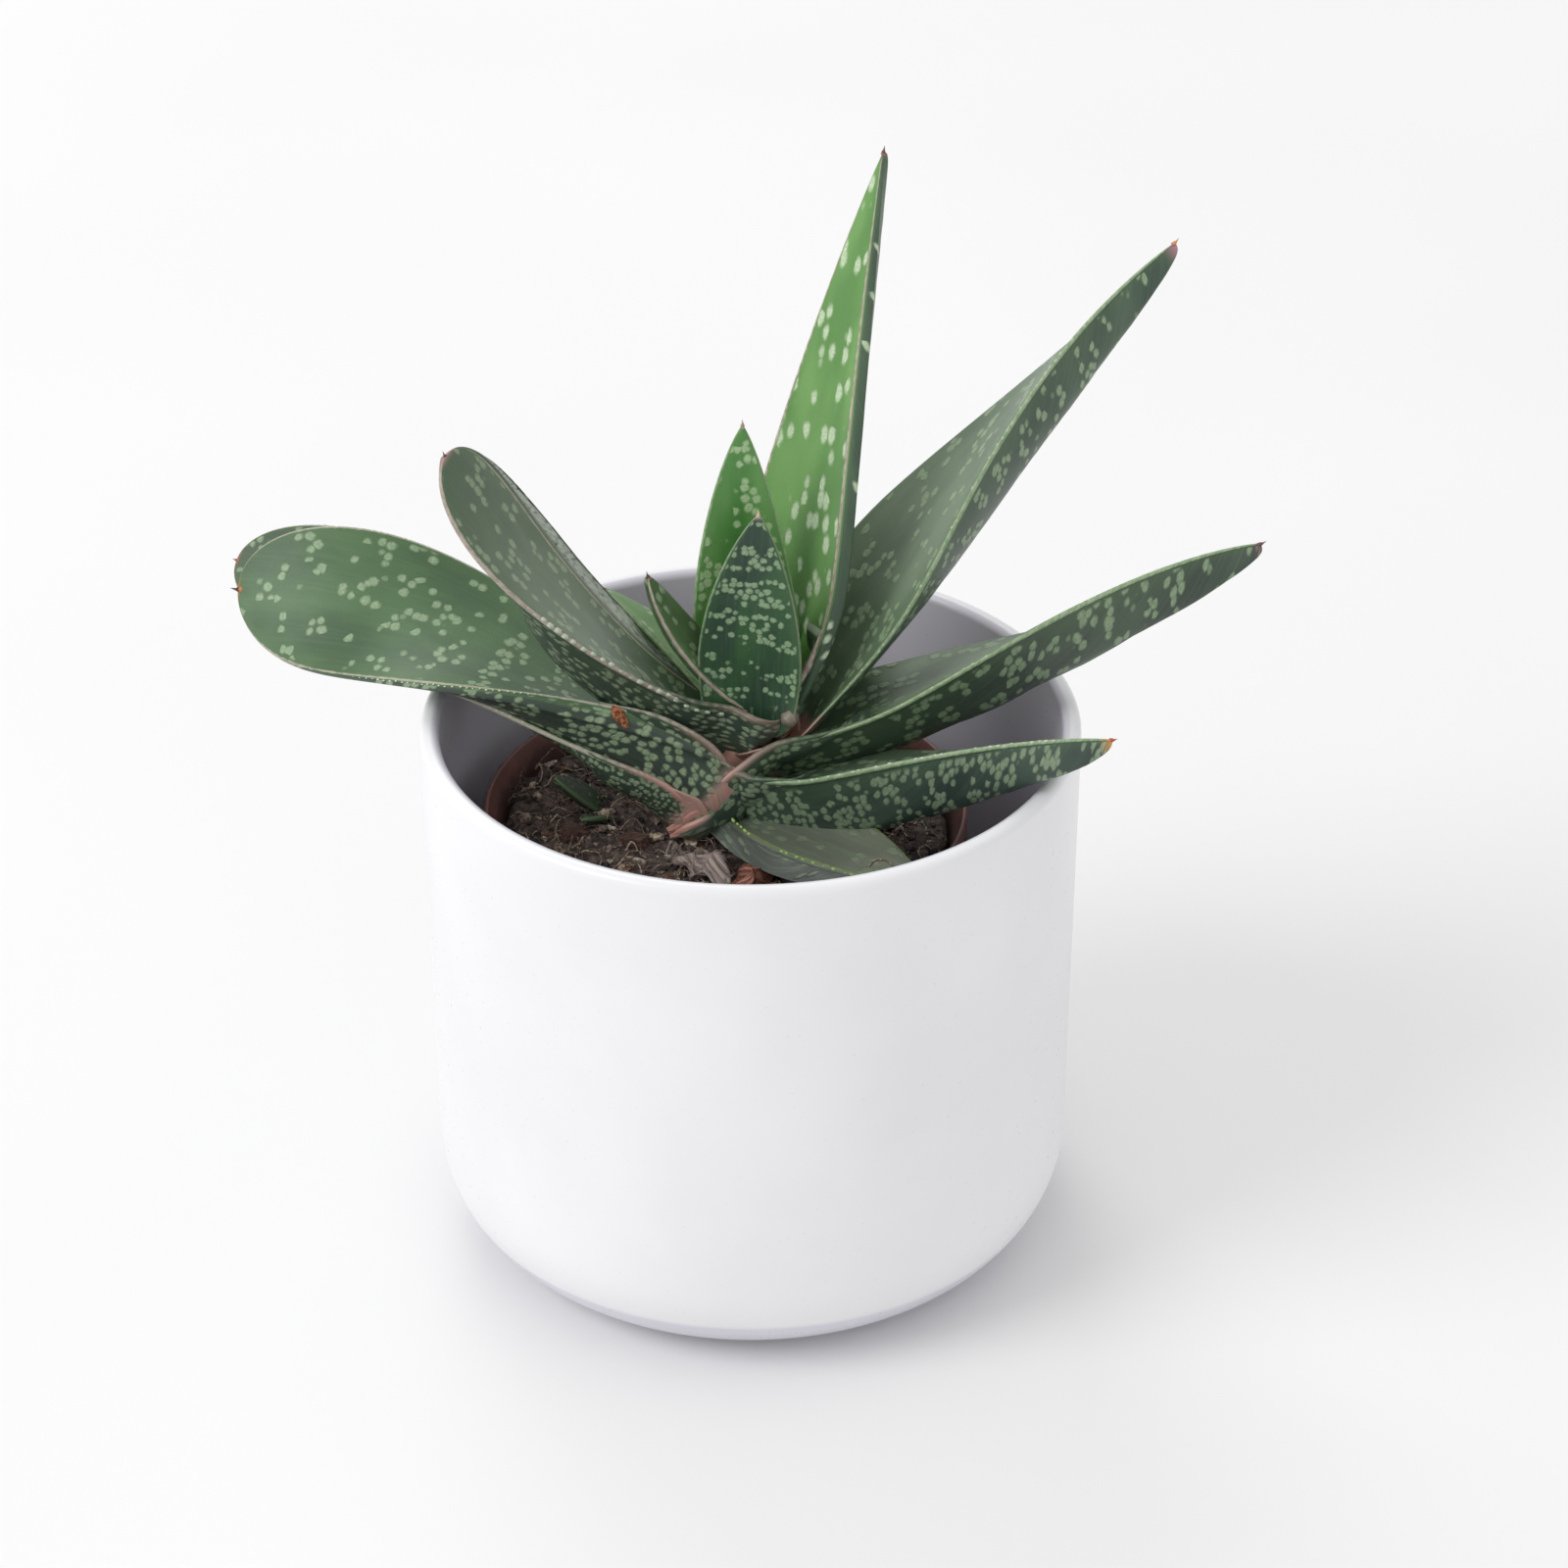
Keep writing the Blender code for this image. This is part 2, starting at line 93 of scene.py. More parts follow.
LEAVES = rows(LEAF_KEYS, {
    "leaf_heart_2": ((0, -2, 119), 16, 6, 92, -8, 54, 22, (60, 74), 6, 0.75, 0.35, (1.7, 0.8)),
    "leaf_heart_1": ((1, 6, 118), 141, -3, 82, 11, 71, 23, (-40, -45), 5, 0.75, 0.3, (1.5, 0.8)),
    "leaf_left_5": ((4, 4, 123), 186, -1, 40, 27, 43, 10, (-22, -36), 5, 0.8, 0.4, (2, 0.7)),
    "leaf_left_4": ((3, 7, 114), 147, 12, 46, -20, 48, 11, (-17, 21), 5, 0.8, 0.5, (2, 0.5)),
    "leaf_right_5": ((4, 7, 121), 54, -4, 75, -7, 122, 32, (-11, -17), 9, 0.6, 0.25, (1.3, 0.9)),
    "leaf_left_3": ((-2, 7, 118), 187, 1, 36, 25, 92, 30, (20, -33), 11, 0.6, 0.55, (3, 0.5)),
    "leaf_right_4": ((8, 6, 123), 26, -18, 55, -12, 128, 32, (23, -45), 13, 0.65, 0.35, (1.4, 0.9)),
    "leaf_right_3": ((2, 3, 117), 4, -6, 22, 3, 114, 26, (14, -65), 12, 0.7, 0.4, (1.6, 0.8)),
    "leaf_left_2": ((-8, -3, 108), 160, -2, 38, -48, 118, 37, (40, -58), 8, 0.55, 0.6, (3, 0.5)),
    "leaf_right_2": ((-4, 1, 109), -23, -8, 18, 4, 92, 25, (-2, -40), 12, 0.7, 0.4, (1.6, 0.8)),
    "leaf_left_1": ((-14, -4, 103), 152, -4, 38, -46, 123, 33, (30, -41), 4.5, 0.6, 0.5, (3, 0.5)),
    "leaf_right_1": ((-7, -1, 104), -46, 1, 7, -6, 62, 23, (12, 14), 6, 0.7, 0.4, (1.6, 0.8)),
})

SMALL_LEAVES = rows(LEAF_KEYS, {
    "pup_leaf_1": ((-31, 10, 95), 200, 10, 48, -10, 17, 7, (-20, -20), 2.4, 0.8, 0.4, (2, 0.7)),
    "pup_leaf_2": ((-28, 12, 95), 60, 0, 62, -8, 16, 6, (0, 0), 2.2, 0.8, 0.4, (2, 0.7)),
    "pup_leaf_3": ((-31, 7, 95), -110, -10, 35, -15, 14, 6, (10, 10), 2.2, 0.8, 0.4, (2, 0.7)),
    "dry_leaf_scrap": ((-14, -13, 98), -70, 30, 20, -25, 15, 8, (-15, 10), 1.4, 0.9, 0.5, (3, 0.6)),
    "old_leaf_stub": ((-6, -20, 95), -20, 0, 35, -15, 11, 8, (0, 0), 4, 0.9, 0.6, (4, 0.4)),
})

BARK_CHIPS = [
    ((-37, -4, 97.6), (9, 4, 3), 25, 18),
    ((-25, -8, 98.2), (8, 4.5, 3), -40, -15),
]

# --- Small helpers


def srgb(code):
    """A screen colour such as "3c5a38" as the linear RGBA that shaders take."""
    linear = []
    for start in (0, 2, 4):
        part = int(code[start:start + 2], 16) / 255
        linear.append(part / 12.92 if part <= 0.04045 else ((part + 0.055) / 1.055) ** 2.4)
    return (*linear, 1)


def node(kind, inputs, tree=None, **settings):
    """A new node with its inputs set to constants or linked to other nodes' outputs. Its tree is
    theirs, unless it is given."""
    sockets = [value for value in inputs.values() if isinstance(value, bpy.types.NodeSocket)]
    tree = tree or sockets[0].id_data
    made = tree.nodes.new(kind)
    for key, value in settings.items():
        setattr(made, key, value)
    for key, value in inputs.items():
        put(made.inputs[key], value)
    return made


def put(socket, value):
    """Sets a socket to a number or a colour, or links it to another node's output."""
    if isinstance(value, bpy.types.NodeSocket):
        socket.id_data.links.new(value, socket)
    else:
        socket.default_value = srgb(value) if isinstance(value, str) else value


def times(first, second):
    return node("ShaderNodeMath", {0: first, 1: second}, operation="MULTIPLY").outputs[0]


def plus(first, second):
    return node("ShaderNodeMath", {0: first, 1: second}, operation="ADD").outputs[0]


def minus(first, second):
    return node("ShaderNodeMath", {0: first, 1: second}, operation="SUBTRACT").outputs[0]


def parts(vector):
    """A vector's X, Y and Z."""
    return node("ShaderNodeSeparateXYZ", {0: vector}).outputs


def step(value, start, end):
    """Eases from 0 where value is start to 1 where it is end."""
    inputs = {0: value, 1: start, 2: end}
    return node("ShaderNodeMapRange", inputs, interpolation_type="SMOOTHSTEP").outputs[0]


def spread(share, low, high):
    return node("ShaderNodeMapRange", {0: share, 3: low, 4: high}).outputs[0]


def blend(factor, first, second, mode="MIX"):
    inputs = {0: factor, 6: first, 7: second}
    return node("ShaderNodeMix", inputs, data_type="RGBA", blend_type=mode).outputs[2]


def grain(vector, scale=1.0, detail=2.0, roughness=0.5, kind="3D"):
    inputs = {"Vector": vector, "Scale": scale, "Detail": detail, "Roughness": roughness}
    return node("ShaderNodeTexNoise", inputs, noise_dimensions=kind).outputs[0]


def scaled(vector, scale, shift=(0, 0, 0)):
    inputs = {"Vector": vector, "Scale": scale, "Location": shift}
    return node("ShaderNodeMapping", inputs).outputs[0]


def attribute(tree, name, output="Vector"):
    return node("ShaderNodeAttribute", {}, tree, attribute_name=name).outputs[output]


def object_place(tree):
    return node("ShaderNodeTexCoord", {}, tree).outputs["Object"]


def new_material(name):
    material = bpy.data.materials.new(name)
    material.use_nodes = True
    return material, material.node_tree


def finish_skin(tint, roughness, height, distance, strength=1.0):
    """Connects a material's colour, roughness and relief, with the relief's depth in metres."""
    shader = tint.id_data.nodes["Principled BSDF"].inputs
    inputs = {"Height": height, "Distance": distance, "Strength": strength}
    put(shader["Base Color"], tint)
    put(shader["Roughness"], roughness)
    put(shader["Normal"], node("ShaderNodeBump", inputs).outputs[0])


def object_from(bm, name, material, replaces=None, angle=60):
    """A piece on the one body, from a bmesh in mm."""
    bmesh.ops.recalc_face_normals(bm, faces=bm.faces)
    bmesh.ops.scale(bm, vec=(MM, MM, MM), verts=bm.verts)
    mesh = bpy.data.meshes.new(name)
    bm.to_mesh(mesh)
    bm.free()
    mesh.shade_smooth()
    mesh.set_sharp_from_angle(angle=radians(angle))
    mesh.materials.append(material)
    obj = bpy.data.objects.new(name, mesh)
    bpy.context.scene.collection.objects.link(obj)
    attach(obj, "root")
    if replaces:
        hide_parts(*replaces)
    return obj


def circle(steps):
    return [(cos(tau * k / steps), sin(tau * k / steps)) for k in range(steps)]


def middle(ring):
    return sum((vert.co for vert in ring), Vector()) / len(ring)


def loft(bm, rings, first, last):
    """Skins the rings and closes their two ends with new points, which it returns."""
    for ring, following in zip(rings, rings[1:]):
        for k, vert in enumerate(ring):
            after = (k + 1) % len(ring)
            bm.faces.new((vert, ring[after], following[after], following[k]))
    ends = [bm.verts.new(first), bm.verts.new(last)]
    for ring, end in zip((rings[0], rings[-1]), ends):
        for k, vert in enumerate(ring):
            bm.faces.new((vert, ring[(k + 1) % len(ring)], end))
    return ends


def arc(centre, radius, start, end, steps):
    """Points (x, z) along a round stretch of a turned profile, angles in degrees."""
    points = []
    for i in range(steps + 1):
        angle = radians(start + (end - start) * i / steps)
        points.append((centre[0] + radius * cos(angle), centre[1] + radius * sin(angle)))
    return points


def turned(profile, centre, steps, wobble, seed=0.0):
    """A bmesh of a profile (x, z) that starts and ends on the axis, turned about Z."""
    bm = bmesh.new()
    rings = []
    for x, z in profile[1:-1]:
        ring = []
        for right, back in circle(steps):
            at = Vector((right, back, z * 0.03 + seed))
            radius = x * (1 + wobble * noise(at * 1.3))
            ring.append(bm.verts.new((centre.x + radius * right, centre.y + radius * back, z)))
        rings.append(ring)
    loft(bm, rings, (centre.x, centre.y, profile[0][1]), (centre.x, centre.y, profile[-1][1]))
    return bm


# --- Camera, floor and light

CAMERA_PLACE = (0, -0.71994, 0.53982)
CAMERA_DOWN = 30.9767
CAMERA_TURN = -0.5603
CAMERA_LENS = 90
CAMERA_SENSOR = 36

FLOOR_REACH = 15
WORLD_STRENGTH = 0.76
KEY_POWER = 42
BACK_POWER = 20

camera_data = bpy.data.cameras.new("camera")
camera_data.lens = CAMERA_LENS
camera_data.sensor_width = CAMERA_SENSOR
camera = bpy.data.objects.new("camera", camera_data)
camera.location = CAMERA_PLACE
camera.rotation_euler = (radians(90 - CAMERA_DOWN), 0, radians(CAMERA_TURN))
bpy.context.scene.collection.objects.link(camera)
bpy.context.scene.camera = camera
bpy.context.scene.view_settings.view_transform = "Standard"


def build_floor():
    material, tree = new_material("floor_white")
    tone = step(grain(object_place(tree), 3.0), 0.2, 0.8)
    shader = tree.nodes["Principled BSDF"].inputs
    put(shader["Base Color"], blend(tone, "eeeeee", "f2f2f2"))
    put(shader["Roughness"], 0.9)
    bm = bmesh.new()
    bmesh.ops.create_grid(bm, x_segments=8, y_segments=8, size=FLOOR_REACH)
    mesh = bpy.data.meshes.new("floor")
    bm.to_mesh(mesh)
    bm.free()
    mesh.materials.append(material)
    floor = bpy.data.objects.new("floor", mesh)
    bpy.context.scene.collection.objects.link(floor)


def area_light(name, place, target, size, power):
    data = bpy.data.lights.new(name, "AREA")
    data.shape = "DISK"
    data.size = size
    data.energy = power
    light = bpy.data.objects.new(name, data)
    light.location = place
    direction = Vector(target) - Vector(place)
    light.rotation_euler = direction.to_track_quat("-Z", "Y").to_euler()
    bpy.context.scene.collection.objects.link(light)


def build_light():
    world = bpy.data.worlds.new("studio")
    bpy.context.scene.world = world
    world.use_nodes = True
    background = world.node_tree.nodes["Background"]
    background.inputs["Color"].default_value = (1.0, 1.0, 1.0, 1)
    background.inputs["Strength"].default_value = WORLD_STRENGTH
    area_light("key", (-2.4, -1.1, 2.3), (0, 0, 0.1), 1.8, KEY_POWER)
    area_light("back", (-0.7, 2.2, 2.6), (0, 0, 0.12), 1.6, BACK_POWER)


# --- Pots


def ceramic_material():
    material, tree = new_material("white_ceramic")
    place = object_place(tree)
    cloud = step(grain(place, 22.0, 3.0), 0.3, 0.7)
    flat = scaled(place, (1, 1, 0))
    radius = node("ShaderNodeVectorMath", {0: flat}, operation="LENGTH").outputs["Value"]
    # Painted shade: all glaze nearer the axis than 67 to 68 mm is painted a greyer lilac than the
    # outside. That is the inside, the inner edge of the rim and the bottom of the foot.
    painted_inner_shade = step(radius, (POT_RADIUS - 2) * MM, (POT_RADIUS - 3) * MM)
    outside = blend(cloud, "ebebee", "f0f0f2")
    tint = blend(painted_inner_shade, outside, blend(cloud, "d6d4de", "dcdae3"))
    speckle = grain(place, 900.0)
    rough = spread(step(speckle, 0.2, 0.9), 0.27, 0.36)
    height = plus(grain(place, 60.0), times(speckle, 0.08))
    finish_skin(tint, rough, height, 0.0002, 0.5)
    return material


def build_cachepot():
    inner = POT_RADIUS - POT_WALL
    round_in = POT_FOOT_ROUND - POT_WALL
    lip = POT_RIM_ROUND
    profile = [(0, POT_FLOOR), (12, POT_FLOOR), (28, POT_FLOOR)]
    profile += arc((inner - round_in, POT_FLOOR + round_in), round_in, -90, 0, 14)
    profile += [(inner, 50), (inner, 74), (inner, 98)]
    profile += arc((inner + lip, POT_HEIGHT - lip), lip, 180, 90, 7)
    profile += arc((POT_RADIUS - lip, POT_HEIGHT - lip), lip, 90, 0, 7)
    profile += [(POT_RADIUS, 98), (POT_RADIUS, 74), (POT_RADIUS, 50)]
    profile += arc((POT_RADIUS - POT_FOOT_ROUND, POT_FOOT_ROUND), POT_FOOT_ROUND, 0, -90, 18)
    profile += [(30, 0), (12, 0), (0, 0)]
    bm = turned(profile, Vector((0, 0, 0)), 144, 0.0012)
    object_from(bm, "cachepot_glazed", ceramic_material(), ["cachepot"])


def nursery_radius(z):
    share = (z - NURSERY_BOTTOM) / (NURSERY_TOP - NURSERY_BOTTOM)
    top = NURSERY_RIM_RADIUS - NURSERY_RIM_STEP
    return NURSERY_BASE_RADIUS + (top - NURSERY_BASE_RADIUS) * share


def inner_radius(z):
    return nursery_radius(z) - NURSERY_WALL


def plastic_material():
    material, tree = new_material("brown_plastic")
    place = object_place(tree)
    cloud = step(grain(place, 60.0, 4.0, 0.6), 0.35, 0.7)
    smear = plus(parts(place)[2], times(grain(place, 180.0, 4.0, 0.7), 0.010))
    dirt = step(smear, 0.1065, 0.1015)
    tint = blend(cloud, "6c443c", "80544a")
    tint = blend(times(dirt, 0.75), tint, "3e2a26")
    rough = spread(dirt, 0.42, 0.8)
    finish_skin(tint, rough, grain(place, 700.0, 3.0), 0.0001, 0.4)
    return material


def build_nursery_pot():
    band = NURSERY_TOP - NURSERY_RIM_BAND
    floor = NURSERY_BOTTOM + NURSERY_WALL
    lip = NURSERY_WALL / 2
    profile = [(0, floor), (20, floor), (inner_radius(floor) - 2, floor),
               (inner_radius(floor + 2), floor + 2)]
    profile += [(inner_radius(z), z) for z in (40, 70, band - 1)]
    profile += [(inner_radius(band) + 0.2, band),
                (NURSERY_RIM_RADIUS - NURSERY_WALL - NURSERY_RIM_STEP / 2, NURSERY_TOP - 1.3)]
    profile += arc((NURSERY_RIM_RADIUS - lip, NURSERY_TOP - lip), lip, 180, 0, 6)
    profile += [(NURSERY_RIM_RADIUS, band + 0.4), (NURSERY_RIM_RADIUS - 0.3, band),
                (nursery_radius(band), band - 0.5)]
    profile += [(nursery_radius(z), z) for z in (70, 40, NURSERY_BOTTOM + 3)]
    profile += [(NURSERY_BASE_RADIUS - 0.6, NURSERY_BOTTOM + 0.8),
                (NURSERY_BASE_RADIUS - 2, NURSERY_BOTTOM), (20, NURSERY_BOTTOM),
                (0, NURSERY_BOTTOM)]
    bm = turned(profile, NURSERY_CENTRE, 120, 0.002, 5.0)
    object_from(bm, "nursery_pot_moulded", plastic_material(), ["nursery_pot"])


# --- Leaves


def half_width_at(leaf, t):
    half = leaf["width"] / 2
    if t < leaf["widest"]:
        swell = sin(pi / 2 * t / leaf["widest"])
        return half * (leaf["foot"] + (1 - leaf["foot"]) * swell)
    power, fullness = leaf["blunt"]
    past = (t - leaf["widest"]) / (1 - leaf["widest"])
    return half * (1 - past ** power) ** fullness


def leaf_frame(leaf, t):
    """The unit vectors along, across and up from the upper face at t."""
    heading = radians(leaf["heading"] + leaf["turn"] * t)
    rise = radians(leaf["rise"] + leaf["bend"] * t)
    bank = radians(leaf["bank"][0] + (leaf["bank"][1] - leaf["bank"][0]) * t)
    east, north = cos(heading), sin(heading)
    along = Vector((east * cos(rise), north * cos(rise), sin(rise)))
    level = Vector((north, -east, 0))
    upright = Vector((-east * sin(rise), -north * sin(rise), cos(rise)))
    return along, cos(bank) * level - sin(bank) * upright, cos(bank) * upright + sin(bank) * level


def eased(share):
    share = max(0.0, min(1.0, share))
    return share * share * (3 - 2 * share)


FACE_STEPS = 18
EDGE_STEPS = 5
FACE_CLOSENESS = 0.965

# What the finer leaves add to the CAD's section. lean: the keel's place from -1 to 1 across, and
# the share of the length where it is back in the middle. lift: how far the margin on that side
# rises, in mm. strip: (width in mm, where it ends) of a narrow third face outside the margin on
# that side, 1 for the right-hand side seen from the base and -1 for the left. drop: how steeply
# the third face falls. slim: how much of the depth is gone at the tip.
SHAPING = {
    "leaf_left_3": dict(lean=(-0.8, 0.65), deeper=1.1, strip={1: (5.2, 1.0)}, drop=-0.6, slim=0.75),
    "leaf_left_2": dict(lean=(-0.85, 0.7), deeper=1.2, lift={-1: 6.0}),
    "leaf_left_1": dict(lean=(-0.6, 0.6), deeper=1.1),
    "leaf_right_1": dict(strip={1: (5.0, 1.1)}, deeper=1.0),
    "leaf_right_2": dict(lean=(0.55, 0.9), deeper=1.3),
    "leaf_right_3": dict(lean=(0.5, 0.6)),
    "leaf_right_5": dict(strip={1: (2.4, 1.05)}),
}


LIFT_PEAK = 0.18


def strip_width(shaping, hand, t):
    width, end = shaping.get("strip", {}).get(hand, (0.0, 1.0))
    return width * max(0.0, 1 - (t / end) ** 3)


def margin_lift(shaping, hand, t):
    """Rises from the base, is highest at LIFT_PEAK of the length, then falls away."""
    highest = shaping.get("lift", {}).get(hand, 0.0)
    share = t / LIFT_PEAK
    return highest * (share * exp(1 - share)) ** 1.6 if share > 0 else 0.0


def keel_place(shaping, t):
    place, end = shaping.get("lean", (0.0, 1.0))
    return place * max(0.0, 1 - t / end)


def fine_section(half, depth, channel, lip, clasp, shaping, t):
    """A leaf's section as (across, up, side, closeness, outer), starting at the right-hand margin.

    side is 0 on the upper face and 1 below, closeness is 1 at a margin, and outer is 1 on the
    narrow third face.
    """
    edge = min(lip, 0.6 * half)
    right = half - edge - min(strip_width(shaping, 1, t), half)
    left = half - edge - min(strip_width(shaping, -1, t), half)
    flat = half - edge
    apex = keel_place(shaping, t)
    split = {hand: min(1.0, ((flat - near) + margin_lift(shaping, hand, t)) / 1.5)
             for hand, near in ((1, right), (-1, left))}
    drop = shaping.get("drop", 0.4)
    points = []

    def edge_point(hand, near, angle, fade):
        """A point on the rounded margin, fade from 0 at the upper face to 1 at the lower one."""
        side = min(1, fade * 3)
        round_close = FACE_CLOSENESS + (1 - FACE_CLOSENESS) * sin(pi * fade)
        close = round_close + (1 - 0.25 * side - round_close) * split[hand]
        shift = (flat - near) * fade
        across = hand * (near + shift) + edge * cos(angle)
        points.append((across, edge * sin(angle) - shift * drop, side, close, min(1.0, shift)))

    for i in range(FACE_STEPS + 1):
        share = cos(pi * i / FACE_STEPS)
        hollow = channel * (1 - abs(share) ** 2.3)
        hand, wide = (1, right) if share > 0 else (-1, left)
        crest = FACE_CLOSENESS + (1 - FACE_CLOSENESS) * split[hand]
        points.append((share * wide, edge - hollow, 0.0, abs(share) * crest, 0.0))
    for i in range(1, EDGE_STEPS):
        edge_point(-1, left, pi / 2 + pi * i / EDGE_STEPS, i / EDGE_STEPS)
    drops = ((flat - left) * drop, (flat - right) * drop)
    for i in range(FACE_STEPS + 1):
        share = -cos(pi * i / FACE_STEPS)
        reach = (share - apex) / (1 - apex) if share > apex else (apex - share) / (1 + apex)
        keel = depth * (1 - min(1, reach) ** 1.7)
        keel += drops[0] * max(0, -share) ** 2 + drops[1] * max(0, share) ** 2
        crest = FACE_CLOSENESS - 0.2 * split[1 if share > 0 else -1]
        points.append((share * flat, -edge - keel, 1.0, abs(share) * crest, 0.0))
    for i in range(1, EDGE_STEPS):
        edge_point(1, right, -pi / 2 + pi * i / EDGE_STEPS, 1 - i / EDGE_STEPS)
    wide = max(half, 0.01)
    lifted = []
    for s, u, side, close, outer in points:
        share = s / wide
        raised = clasp * share ** 2
        hand = 1 if s > 0 else -1
        raised += margin_lift(shaping, hand, t) * abs(share) ** 2 * (1 - 0.75 * side)
        lifted.append((s, u + raised, side, close, outer))
    return lifted


def leaf_stations(leaf, rings, shaping):
    """(t, place of the midline, half width, depth, channel, lip, clasp) from base to tip."""
    place = Vector(leaf["base"])
    stations = []
    for i in range(rings):
        t = sin(pi / 2 * i / rings)
        after = sin(pi / 2 * (i + 1) / rings)
        half = half_width_at(leaf, t)
        share = (half / (leaf["width"] / 2)) ** 0.4
        depth = leaf["depth"] * (1 - 0.4 * t ** 2) * share
        channel = 0.35 * depth * (1 - t) ** 1.5
        depth *= 1 + (shaping.get("deeper", 1.0) - 1) * max(0, 1 - t / 0.8)
        depth *= 1 - shaping.get("slim", 0.0) * eased((t - 0.45) / 0.5)
        clasp = min(CLASP, leaf["width"] / 4) * max(0, 1 - t / CLASP_REACH) ** 2
        stations.append((t, place.copy(), half, depth, channel, 0.6 * share, clasp))
        place = place + leaf_frame(leaf, (t + after) / 2)[0] * leaf["length"] * (after - t)
    return stations, place


def margin_point(leaf, station, hand, shaping):
    """The crest of the margin on one side at a station."""
    t, place, half, _, _, lip, clasp = station
    _, across, up = leaf_frame(leaf, t)
    inset = strip_width(shaping, hand, t)
    height = clasp + margin_lift(shaping, hand, t) + lip * 0.3
    return place + across * hand * (half - lip * 0.5 - inset) + up * height


def blush_at(along, closeness, reach):
    """How pink the skin is: fully at the base, and further along on the margins."""
    face, margin = reach
    length = face + (margin - face) * closeness ** 14
    return 1 - eased((along - 0.25 * length) / (0.75 * length + 0.01))


def skin_layers(bm):
    """leaf_place holds (mm across, mm along, side), leaf_zone (closeness to the margin, share
    along, 1 on a tubercle and up to 0.3 on the narrow third face, which takes a painted sheen) and
    leaf_blush how pink the skin is."""
    layers = bm.verts.layers
    place, zone = (layers.float_vector.new(name) for name in ("leaf_place", "leaf_zone"))
    return place, zone, layers.float.new("leaf_blush")


def mark(layers, verts, place, zone, blush=0.0):
    for vert in verts:
        vert[layers[0]] = place
        vert[layers[1]] = zone
        vert[layers[2]] = blush


def add_spindle(bm, centre, along, across, up, rings, ends, sides):
    """A small closed form round a line. rings holds (forward, radius), ends how far they are."""
    made = []
    for forward, radius in rings:
        made.append([bm.verts.new(centre + along * forward + (across * right + up * high) * radius)
                     for right, high in circle(sides)])
    return made, loft(bm, made, centre + along * ends[0], centre + along * ends[1])


def add_bead(bm, layers, centre, along, across, up, size, zone):
    """A tiny tubercle, longer along the leaf than across it."""
    reach = 1.5 * size
    round_at = [(level * reach, sqrt(1 - level ** 2) * size) for level in (-0.55, 0.55)]
    rings, ends = add_spindle(bm, centre, along, across, up, round_at, (-reach, reach), 6)
    mark(layers, rings[0] + rings[1] + ends, (0, zone[1] * 100, 0.5), zone)


def leaf_bmesh(leaf, seed, blush, rings=64, beads=None, mucro=0.5, heel=6.0, shaping=None,
               trim=0.0, crumple=0.0):
    """A finely lofted leaf with toothed margins, in mm, with its skin's attributes."""
    shaping = shaping or {}
    bm = bmesh.new()
    layers = skin_layers(bm)
    stations, tip_place = leaf_stations(leaf, rings, shaping)
    stations = [station for station in stations if station[0] >= trim]
    t, place, half, depth, channel, lip, clasp = stations[0]
    heel_rings = []
    for back, shrink in ((1.0, 0.45), (0.8, 0.7), (0.4, 0.92)) if heel else ():
        behind = place - leaf_frame(leaf, t)[0] * heel * back
        heel_rings.append((t, behind, half * shrink, depth * shrink, channel * shrink, lip,
                           clasp * shrink))
    made = []
    for t, place, half, depth, channel, lip, clasp in heel_rings + stations:
        _, across, up = leaf_frame(leaf, t)
        ring = []
        section = fine_section(half, depth, channel, lip, clasp, shaping, t)
        walked = [0.0]
        for one, other in zip(section, section[1:]):
            walked.append(walked[-1] + hypot(other[0] - one[0], other[1] - one[1]))
        for (s, u, side, close, outer), walk in zip(section, walked):
            spot = place + across * s + up * u
            at = spot * 0.06 + Vector((seed, 0, 0))
            swell = (0.45 * noise(at) + 0.12 * noise(at * 5)) * (1 - close ** 2)
            fold = Vector([noise(spot * 0.3 + Vector((axis * 7, seed, 0))) for axis in range(3)])
            vert = bm.verts.new(spot + up * swell * (1 if side < 0.5 else -1) + fold * crumple)
            length = t * leaf["length"]
            mark(layers, [vert], (walk - walked[FACE_STEPS // 2], length, side),
                 (close, t, 0.3 * outer), blush_at(length, close, blush))
            ring.append(vert)
        made.append(ring)
    base, tip = loft(bm, made, middle(made[0]), tip_place)
    mark(layers, [base], (0, 0, 1), (0.5, 0, 0), 1.0)
    mark(layers, [tip], (0, leaf["length"], 0.5), (1, 1, 0))
    if mucro:
        add_mucro(bm, layers, tip_place, leaf_frame(leaf, 1)[0], mucro)
    for hand, spec in (beads or {}).items():
        add_margin_beads(bm, layers, leaf, stations, shaping, hand, spec, seed)
    return bm


def add_mucro(bm, layers, place, along, size):
    """The hard point at the end of a leaf, bent up a little."""
    level = along.cross(UP).normalized()
    deep = level.cross(along)
    round_at = [(-1.2 * size, 0.9 * size), (0.0, 0.75 * size), (0.8 * size, 0.35 * size)]
    rings, (back, point) = add_spindle(bm, place, along, level, deep, round_at,
                                       (-1.8 * size, 2.4 * size), 7)
    point.co += deep * 0.4 * size
    mark(layers, rings[0] + [back], (0, 0, 0.5), (1, 1.0, 0.4))
    mark(layers, rings[1] + rings[2] + [point], (0, 0, 0.5), (1, 1.2, 0.4))


